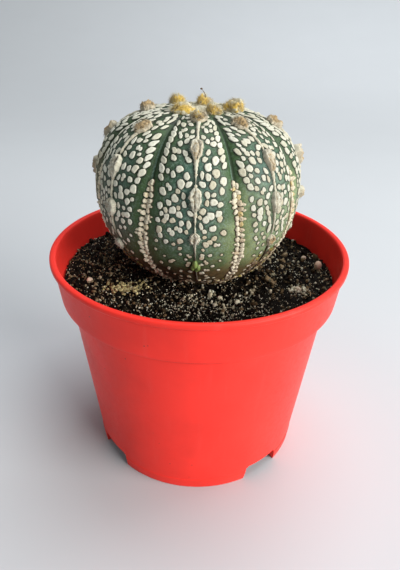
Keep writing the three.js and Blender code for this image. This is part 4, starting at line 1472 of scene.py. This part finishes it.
def add_tuft(shape, form, number, n, half, tall, rng):
    """A loose tuft: golden inside and low down, with painted light in cream on its top, and cream round its
    ragged edge.
    """
    point, normal, sideways, down = form.frame(areole_rib(n), 0.0, areole_distance(n))
    axes = np.array([sideways, down, normal])
    size = np.array([half * 0.86, half * 0.90, tall * 0.84])

    def placed(local):
        return point + local @ axes

    def lean(local):
        """Draws a tuft out towards the growing point."""
        return local * np.where(local[:, 1:2] < 0, [1, 1.35, 1], [1, 1, 1])

    def goldness(local, stray):
        """Cream is painted as light on the side that faces the window; the lowest wool is pale too."""
        painted_light = smoothstep(local @ axes @ PAINTED_LIGHT_SIDE + stray, 0.45, 0.95)
        return (1 - 0.9 * painted_light) * smoothstep(local[:, 2] + stray, -0.1, 0.25)

    points, faces = ball(3)
    turns = rng.uniform(0, 1.3) + circle(TUFT_LOBES)[0] + rng.uniform(-0.4, 0.4, TUFT_LOBES)
    away = rng.uniform(0.3, 0.6, TUFT_LOBES)
    lobes = [(0, 0, 0.74, 0.95)]
    for aside, below in zip(np.sin(turns) * away, np.cos(turns) * away):
        lobes.append((aside, below, rng.uniform(0.36, 0.62), rng.uniform(0.45, 1.1)))
    number = number // len(lobes)
    for aside, below, wide, high in lobes:
        middle, extent = np.array([aside, below, 0]), np.array([wide, wide, high])
        near = points + middle * 3
        swollen = 1 + 0.34 * waves(near, 0.7, 12.0 + n) + 0.26 * waves(near, 0.3, 4.0 + n)
        inside = middle + points * swollen[:, None] * extent
        local = lean(inside * size)
        local[:, 2] = np.maximum(local[:, 2], -0.3) + 0.15
        shape.add(placed(local), faces, gold=goldness(inside, 0.75 * waves(inside, 0.45, 33.0 + n)), hair=0.0)
        spread = unit(rng.normal(size=(number, 3)))
        spread[:, 2] = np.abs(spread[:, 2])
        inside = middle + spread * extent * 0.94
        aims = spread @ axes + 0.25 * normal + rng.normal(0, 0.4, (number, 3))
        forms = hairs(rng, placed(lean(inside * size)), aims, (0.3, 1.1), (0.05, 0.1), 0.35)
        gold = goldness(inside, rng.normal(0, 0.22, number))
        shape.add(forms, HAIR_FACES, gold=gold[:, None] * (1 - 0.5 * HAIR_ALONG), hair=HAIR_ALONG)


def make_thread():
    """A dried thread with a dark knob that stands up from the back tuft."""
    t = np.linspace(0, 1, 12)[:, None]
    line = np.array([0.8, 6.0, 104.9]) + t * np.array([-1.15, 0.4, 2.2])
    line = line + np.sin(t * 3.1) * np.array([0.3, 0, 0])
    _, cosine, sine = circle(6)
    around = np.stack([cosine, sine, 0 * sine], axis=1)
    shape = Shape()
    shape.add_rings(line[0], line[:, None] + around * (0.13 - 0.04 * t)[:, None], line[-1])
    points, faces = ball(2)
    shape.add(points * np.array([0.34, 0.3, 0.26]) + line[-1], faces)
    finish = Finish("dry thread")
    colour = finish.coats((0.035, 0.02, 0.012), ((0.16, 0.10, 0.05), finish.clouds(0.6, 2)))
    shape.build("dry_thread", finish.surface(colour, 0.8, finish.clouds(0.2), 0.03), "crown_wool")


def golden_wool(golden, cream):
    """Golden wool inside the tufts, cream at the tips of the hairs and on the felt."""
    finish = Finish("crown wool")
    gold, tip = finish.carried("gold", "hair")
    mottle = finish.clouds(0.9, 4, 0.6)
    inside = finish.coats(golden, (shaded(golden, 0.80), mottle.between(0.42, 0.72)))
    colour = finish.coats(
        cream,
        # Gold is low, and so cream shows, where light is painted on the tufts' lit side
        (inside, (gold + (mottle - 0.5) * 0.6).between(0.2, 0.8)),
        (shaded(cream, 1.1), tip.between(0.3, 1.0) * 0.6),
    )
    return finish.surface(
        colour, 0.95, finish.clouds(0.16, 3, 0.6), 0.08,
        Specular_IOR_Level=0.15, Sheen_Weight=0.3, Sheen_Roughness=0.5,
    )


class CACTUS_OT_crown(CactusOperator, bpy.types.Operator):
    """Sets the golden tufts of the youngest areoles on the crown, with felt between them"""

    bl_idname = "star_cactus.crown"
    bl_label = "Crown wool"

    def execute(self, context):
        settings, form = self.settings(context)
        crown, rng, shape = settings.crown, seeded("crown"), Shape()
        add_felt(shape, form, crown, rng)
        for n, (width, height) in enumerate([*CROWN_TUFTS, FRONT_TUFT]):
            number = crown.hairs // (1 if n < len(CROWN_TUFTS) else 2)
            add_tuft(shape, form, number, n, width / 2, height, rng)
        shape.build("crown_tufts", golden_wool(crown.golden, crown.cream), "crown_wool", "crown_wool")
        make_thread()
        return {"FINISHED"}


# Cork rows
def add_cake(shape, form, rng, rib, aside, along, wide, long, high, golden=0.0):
    """One flat ragged cake of cork."""
    angle, cosine, sine = circle(CAKE_SIDES)
    swells = [amount * np.cos(turns * angle + rng.uniform(0, 6.3)) for turns, amount in CAKE_SWELLS]
    outline = squarish(angle, 2.4) * (1 + sum(swells))
    turned = leaning(sine * outline * wide, cosine * outline * long, rng.uniform(-0.35, 0.35))
    knobs = uneven(rng, (len(CAKE_LEVELS), CAKE_SIDES), 0.18)
    rings = [
        form.lifted(rib, aside + turned[0] * scale, along + turned[1] * scale, high * rise * knob)
        for (scale, rise, _), knob in zip(CAKE_LEVELS, knobs)
    ]
    bottom, top = (form.lifted(rib, aside, along, high * rise) for rise in (-0.5, 0.85))
    dark = capped(1, np.repeat([level[2] for level in CAKE_LEVELS], CAKE_SIDES), 0.15)
    tone = rng.uniform()
    shape.add_rings(bottom, rings, top, tone=tone, gold=golden, along=along / SKIN_LENGTH, dark=dark)


def add_row(shape, form, cork, k, rng):
    """Cakes of cork in two rows that nearly touch, with odd cakes beside them."""
    half, tall, spacing = cork.cake / MM, cork.height / MM, cork.spacing / MM
    for rib, side in ((k, 1), ((k + 1) % RIBS, -1)):
        along = CORK_START + rng.uniform(0, 1.6)
        while along < CORK_END:
            old = smoothstep(along, 48, 56)
            grown = lerp(0.6, 1.0, smoothstep(along, CORK_START, CORK_START + 4)) * rng.uniform(0.82, 1.15)
            grown = grown * lerp(1, rng.uniform(0.6, 0.95), old)
            wide, long = half * grown * rng.uniform(0.88, 1.18), spacing * 0.46 * rng.uniform(0.85, 1.2)
            aside = side * (form.half_width(rib, side, along) - wide * 0.98 - rng.uniform(-0.02, 0.22))
            golden = float(rng.uniform() < (0.22 if along < CORK_START + 8 else 0.05))
            add_cake(shape, form, rng, rib, aside, along, wide, long, tall * rng.uniform(0.75, 1.15), golden)
            if rng.uniform() < 0.16:
                beyond = side * (abs(aside) - wide - rng.uniform(0.1, 0.4))
                size = rng.uniform(0.4, 0.75) * half
                near = along + rng.uniform(-0.4, 0.4)
                add_cake(shape, form, rng, rib, beyond, near, size * 1.2, size * 0.75, tall * 0.6)
            along += spacing * rng.uniform(0.86, 1.2) * lerp(1, rng.uniform(1.05, 1.7), old)


def weathered_cork(cream, tan):
    """Cream cork, tan in places, with painted light away from the window, dark at the foot of a cake and
    duller low down.
    """
    finish = Finish("cork")
    tone, gold, along, dark = finish.carried("tone", "gold", "along", "dark")
    mottle = finish.clouds(0.6, 4, 0.65)
    colour = finish.coats(
        cream,
        (tan, (tone * 0.6 + mottle * 0.6).between(0.5, 1.05) * 0.75),
        ((0.46, 0.34, 0.12), gold * mottle.between(0.3, 0.6) * 0.85),
        (shaded(tan, 0.5), finish.clouds(0.35, 3).between(0.55, 0.75) * 0.5),
        # Painted light: lighter cream on the side away from the window
        (shaded(cream, 1.5), finish.axis(0).between(-18, 0, 0.55, 0)),
        ((0.055, 0.022, 0.012), dark.between(0.2, 0.9) * 0.9),
        (shaded(tan, 0.35), along.between(0.80, 0.92) * 0.75),
    )
    return finish.surface(colour, 0.92, finish.clouds(0.2, 4, 0.6), 0.12, Specular_IOR_Level=0.2)


class CACTUS_OT_cork(CactusOperator, bpy.types.Operator):
    """Fills the lower half of each furrow with its corky double row"""

    bl_idname = "star_cactus.cork"
    bl_label = "Cork rows"

    def execute(self, context):
        settings, form = self.settings(context)
        material = weathered_cork(settings.cork.cream, settings.cork.tan)
        for k in range(RIBS):
            shape = Shape()
            add_row(shape, form, settings.cork, k, seeded("cork", k))
            shape.build(f"cork_beads_{k + 1}", material, "cork", f"cork_row_{k + 1}")
        return {"FINISHED"}


# Sprout and dry scales
def make_sprout(form, rng):
    """A small green sprout of a few buds low on the front rib."""
    shape = Shape()
    points, faces = ball(3)
    for aside, along, wide, long, tall in SPROUT_BUDS:
        local = points * (1 + 0.18 * waves(points, 0.9, aside * 7))[:, None]
        lift = np.maximum(local[:, 2] * tall + 0.3, -0.2)
        forms = form.lifted(0, aside + local[:, 0] * wide, along + local[:, 1] * long, lift)
        shape.add(forms, faces, tone=rng.uniform(0, 1))
    finish = Finish("sprout green")
    colour = finish.coats(
        (0.13, 0.19, 0.04),
        ((0.25, 0.34, 0.10), finish.clouds(0.5, 2)),
        ((0.06, 0.09, 0.02), finish.carried("tone") * 0.5),
    )
    shape.build("green_sprout", finish.surface(colour, 0.5, finish.clouds(0.2), 0.04), "cactus_skin")


def make_scales(form, rng):
    """Dry curled scales on the base of the ribs, thickest at the right and left of the front."""
    number = 300
    middle, spread, part = np.array(SCALE_PLACES).T
    place = rng.choice(len(part), number, p=part)
    azimuth = middle[place] + spread[place] * rng.uniform(-1, 1, number)
    along = np.where(place < 2, rng.uniform(50, 64, number), rng.uniform(60, 68, number))
    height = form.height_at(along)
    axis = form.axis_x(height)
    base = on_circle(form.radius_at(along) - 0.6, azimuth, height, axis)
    below = along + 0.5
    down = unit(on_circle(form.radius_at(below) - 0.6, azimuth, form.height_at(below), axis) - base)
    sideways = unit(on_circle(1.0, azimuth + 90, 0.0))
    axes = np.stack([sideways, down, unit(np.cross(down, sideways))], axis=1)
    size = rng.uniform(0.22, 0.58, number)
    ranges = (0.8, 1.3), (0.7, 1.5), (0.3, 0.5)
    stretch = np.stack([rng.uniform(low, high, number) for low, high in ranges], axis=1)
    points, faces = ball(2)
    local = points * uneven(rng, (number, len(points), 1), 0.16) * (size[:, None] * stretch)[:, None]
    local[..., 2] += 0.35 * local[..., 1] ** 2 / size[:, None] + 0.55
    shape = Shape()
    shape.add(base[:, None] + local @ axes, faces, tone=rng.uniform(0, 1, (number, 1)))
    finish = Finish("dry scale")
    tone = finish.carried("tone")
    colour = finish.coats(
        (0.10, 0.055, 0.022),
        ((0.52, 0.43, 0.27), tone.between(0.4, 0.9)),
        ((0.30, 0.25, 0.05), tone.between(0.1, 0.2) * tone.between(0.22, 0.3, 1, 0)),
        ((0.05, 0.025, 0.012), finish.clouds(0.5, 3).between(0.4, 0.65) * 0.7),
    )
    shape.build("dry_scales", finish.surface(colour, 0.9, finish.clouds(0.2, 3), 0.08), "cork")


class CACTUS_OT_bits(CactusOperator, bpy.types.Operator):
    """Adds the green sprout at the front of the base and the dry scales round it"""

    bl_idname = "star_cactus.bits"
    bl_label = "Sprout and dry scales"

    def execute(self, context):
        form, rng = self.settings(context)[1], seeded("scraps")
        make_sprout(form, rng)
        make_scales(form, rng)
        return {"FINISHED"}


# Stage
def make_floor(colour):
    """A round floor, flat under the pot, that rises ever more steeply into a low wall all round."""
    angle, cosine, sine = circle(96)
    outline = [(0.2, 0.0), *((0.45 + 1.75 * t, 1.2 * t**2.4) for t in np.linspace(0, 1, 24))]
    rings = [np.stack([cosine * radius, sine * radius, 0 * angle + height], 1) for radius, height in outline]
    index = np.arange(len(rings) * len(angle)).reshape(len(rings), -1)
    low, high = index[:-1], index[1:]
    bands = np.stack([low, high, np.roll(high, -1, axis=1), np.roll(low, -1, axis=1)], axis=-1)
    mesh = bpy.data.meshes.new("floor")
    faces = [index[0].tolist(), *bands.reshape(-1, 4).tolist()]
    mesh.from_pydata(np.concatenate(rings).tolist(), [], faces)
    mesh.shade_smooth()
    finish = Finish("pale floor")
    paint = finish.coats(colour, (shaded(colour, 0.97), finish.clouds(60, 2)))
    mesh.materials.append(finish.surface(paint, 0.75, Specular_IOR_Level=0.2))
    linked("floor", mesh)


def add_light(name, place, target, size, spread, energy, colour):
    """An area light that points at its target and that the camera doesn't see."""
    lamp = bpy.data.lights.new(name, "AREA")
    lamp.shape, lamp.size, lamp.size_y = "RECTANGLE", *size
    lamp.spread = math.radians(spread)
    lamp.energy, lamp.color = energy, colour
    holder = linked(name, lamp)
    holder.location = place
    holder.rotation_euler = (Vector(target) - Vector(place)).to_track_quat("-Z", "Y").to_euler()
    holder.visible_camera = False


def make_room(strength):
    """A pale even light from all sides."""
    world = bpy.data.worlds.new("pale room")
    world.use_nodes = True
    background = world.node_tree.nodes["Background"]
    background.inputs["Color"].default_value = (0.93, 0.97, 1.0, 1)
    background.inputs["Strength"].default_value = strength
    bpy.context.scene.world = world


def place_camera():
    """Puts the camera where the photo was taken from."""
    camera = bpy.data.cameras.new("camera")
    camera.sensor_width = 36
    camera.lens = FOCAL_PIXELS / IMAGE_HEIGHT * camera.sensor_width
    camera.clip_start, camera.clip_end = 0.01, 20
    turn = Matrix((CAMERA_RIGHT, CAMERA_UP, CAMERA_BACK)).transposed().to_4x4()
    holder = linked("camera", camera)
    holder.matrix_world = Matrix.Translation(CAMERA_PLACE) @ turn
    bpy.context.scene.camera = holder


class CACTUS_OT_stage(CactusOperator, bpy.types.Operator):
    """Sets the pale floor, the soft window light and the camera"""

    bl_idname = "star_cactus.stage"
    bl_label = "Stage"

    def execute(self, context):
        stage = self.settings(context)[0].stage
        make_floor(stage.floor)
        # Name, place, target, size, spread in degrees, power and colour
        lights = [
            ("window", (0.94, -0.61, 0.47), (0, 0, 0.06), (1.0, 0.40), 120, stage.key, WARM_WHITE),
            ("overhead", (0.28, 0.26, 1.0), (0, 0, 0.05), (0.8, 0.8), 180, stage.top, COOL_WHITE),
            ("backdrop", (0.3, 0.35, 0.9), (0.45, 1.4, 0.2), (0.8, 0.4), 100, stage.backdrop, COOL_WHITE),
        ]
        for light in lights:
            add_light(*light)
        make_room(stage.room)
        place_camera()
        context.scene.view_settings.view_transform = "Standard"
        return {"FINISHED"}


# Panel
class CACTUS_PT_panel(bpy.types.Panel):
    """Lists the pieces and the settings of the potted star cactus"""

    bl_idname = "CACTUS_PT_panel"
    bl_label = "Star cactus"
    bl_space_type = "VIEW_3D"
    bl_region_type = "UI"
    bl_category = "Star cactus"

    def draw(self, context):
        settings = context.scene.star_cactus
        for operator, group in PARTS:
            box = self.layout.box()
            box.operator(operator.bl_idname)
            if group:
                own = getattr(settings, group)
                for name in own.bl_rna.properties.keys():
                    if name not in ("rna_type", "name"):
                        box.prop(own, name)


PARTS = [
    (CACTUS_OT_stage, "stage"),
    (CACTUS_OT_pot, "pot"),
    (CACTUS_OT_soil, "soil"),
    (CACTUS_OT_body, "body"),
    (CACTUS_OT_areoles, "areoles"),
    (CACTUS_OT_crown, "crown"),
    (CACTUS_OT_cork, "cork"),
    (CACTUS_OT_bits, None),
]
GROUPS = [
    PotSettings, SoilSettings, BodySettings, FleckSettings, AreoleSettings, CrownSettings, CorkSettings,
    StageSettings, StarCactusSettings,
]
CLASSES = [*GROUPS, *(operator for operator, _ in PARTS), CACTUS_PT_panel]


def register():
    for cls in CLASSES:
        bpy.utils.register_class(cls)
    bpy.types.Scene.star_cactus = PointerProperty(type=StarCactusSettings)


def unregister():
    del bpy.types.Scene.star_cactus
    for cls in reversed(CLASSES):
        bpy.utils.unregister_class(cls)


def main():
    register()
    for operator, _ in PARTS:
        family, name = operator.bl_idname.split(".")
        getattr(getattr(bpy.ops, family), name)()


if __name__ == "__main__":
    main()
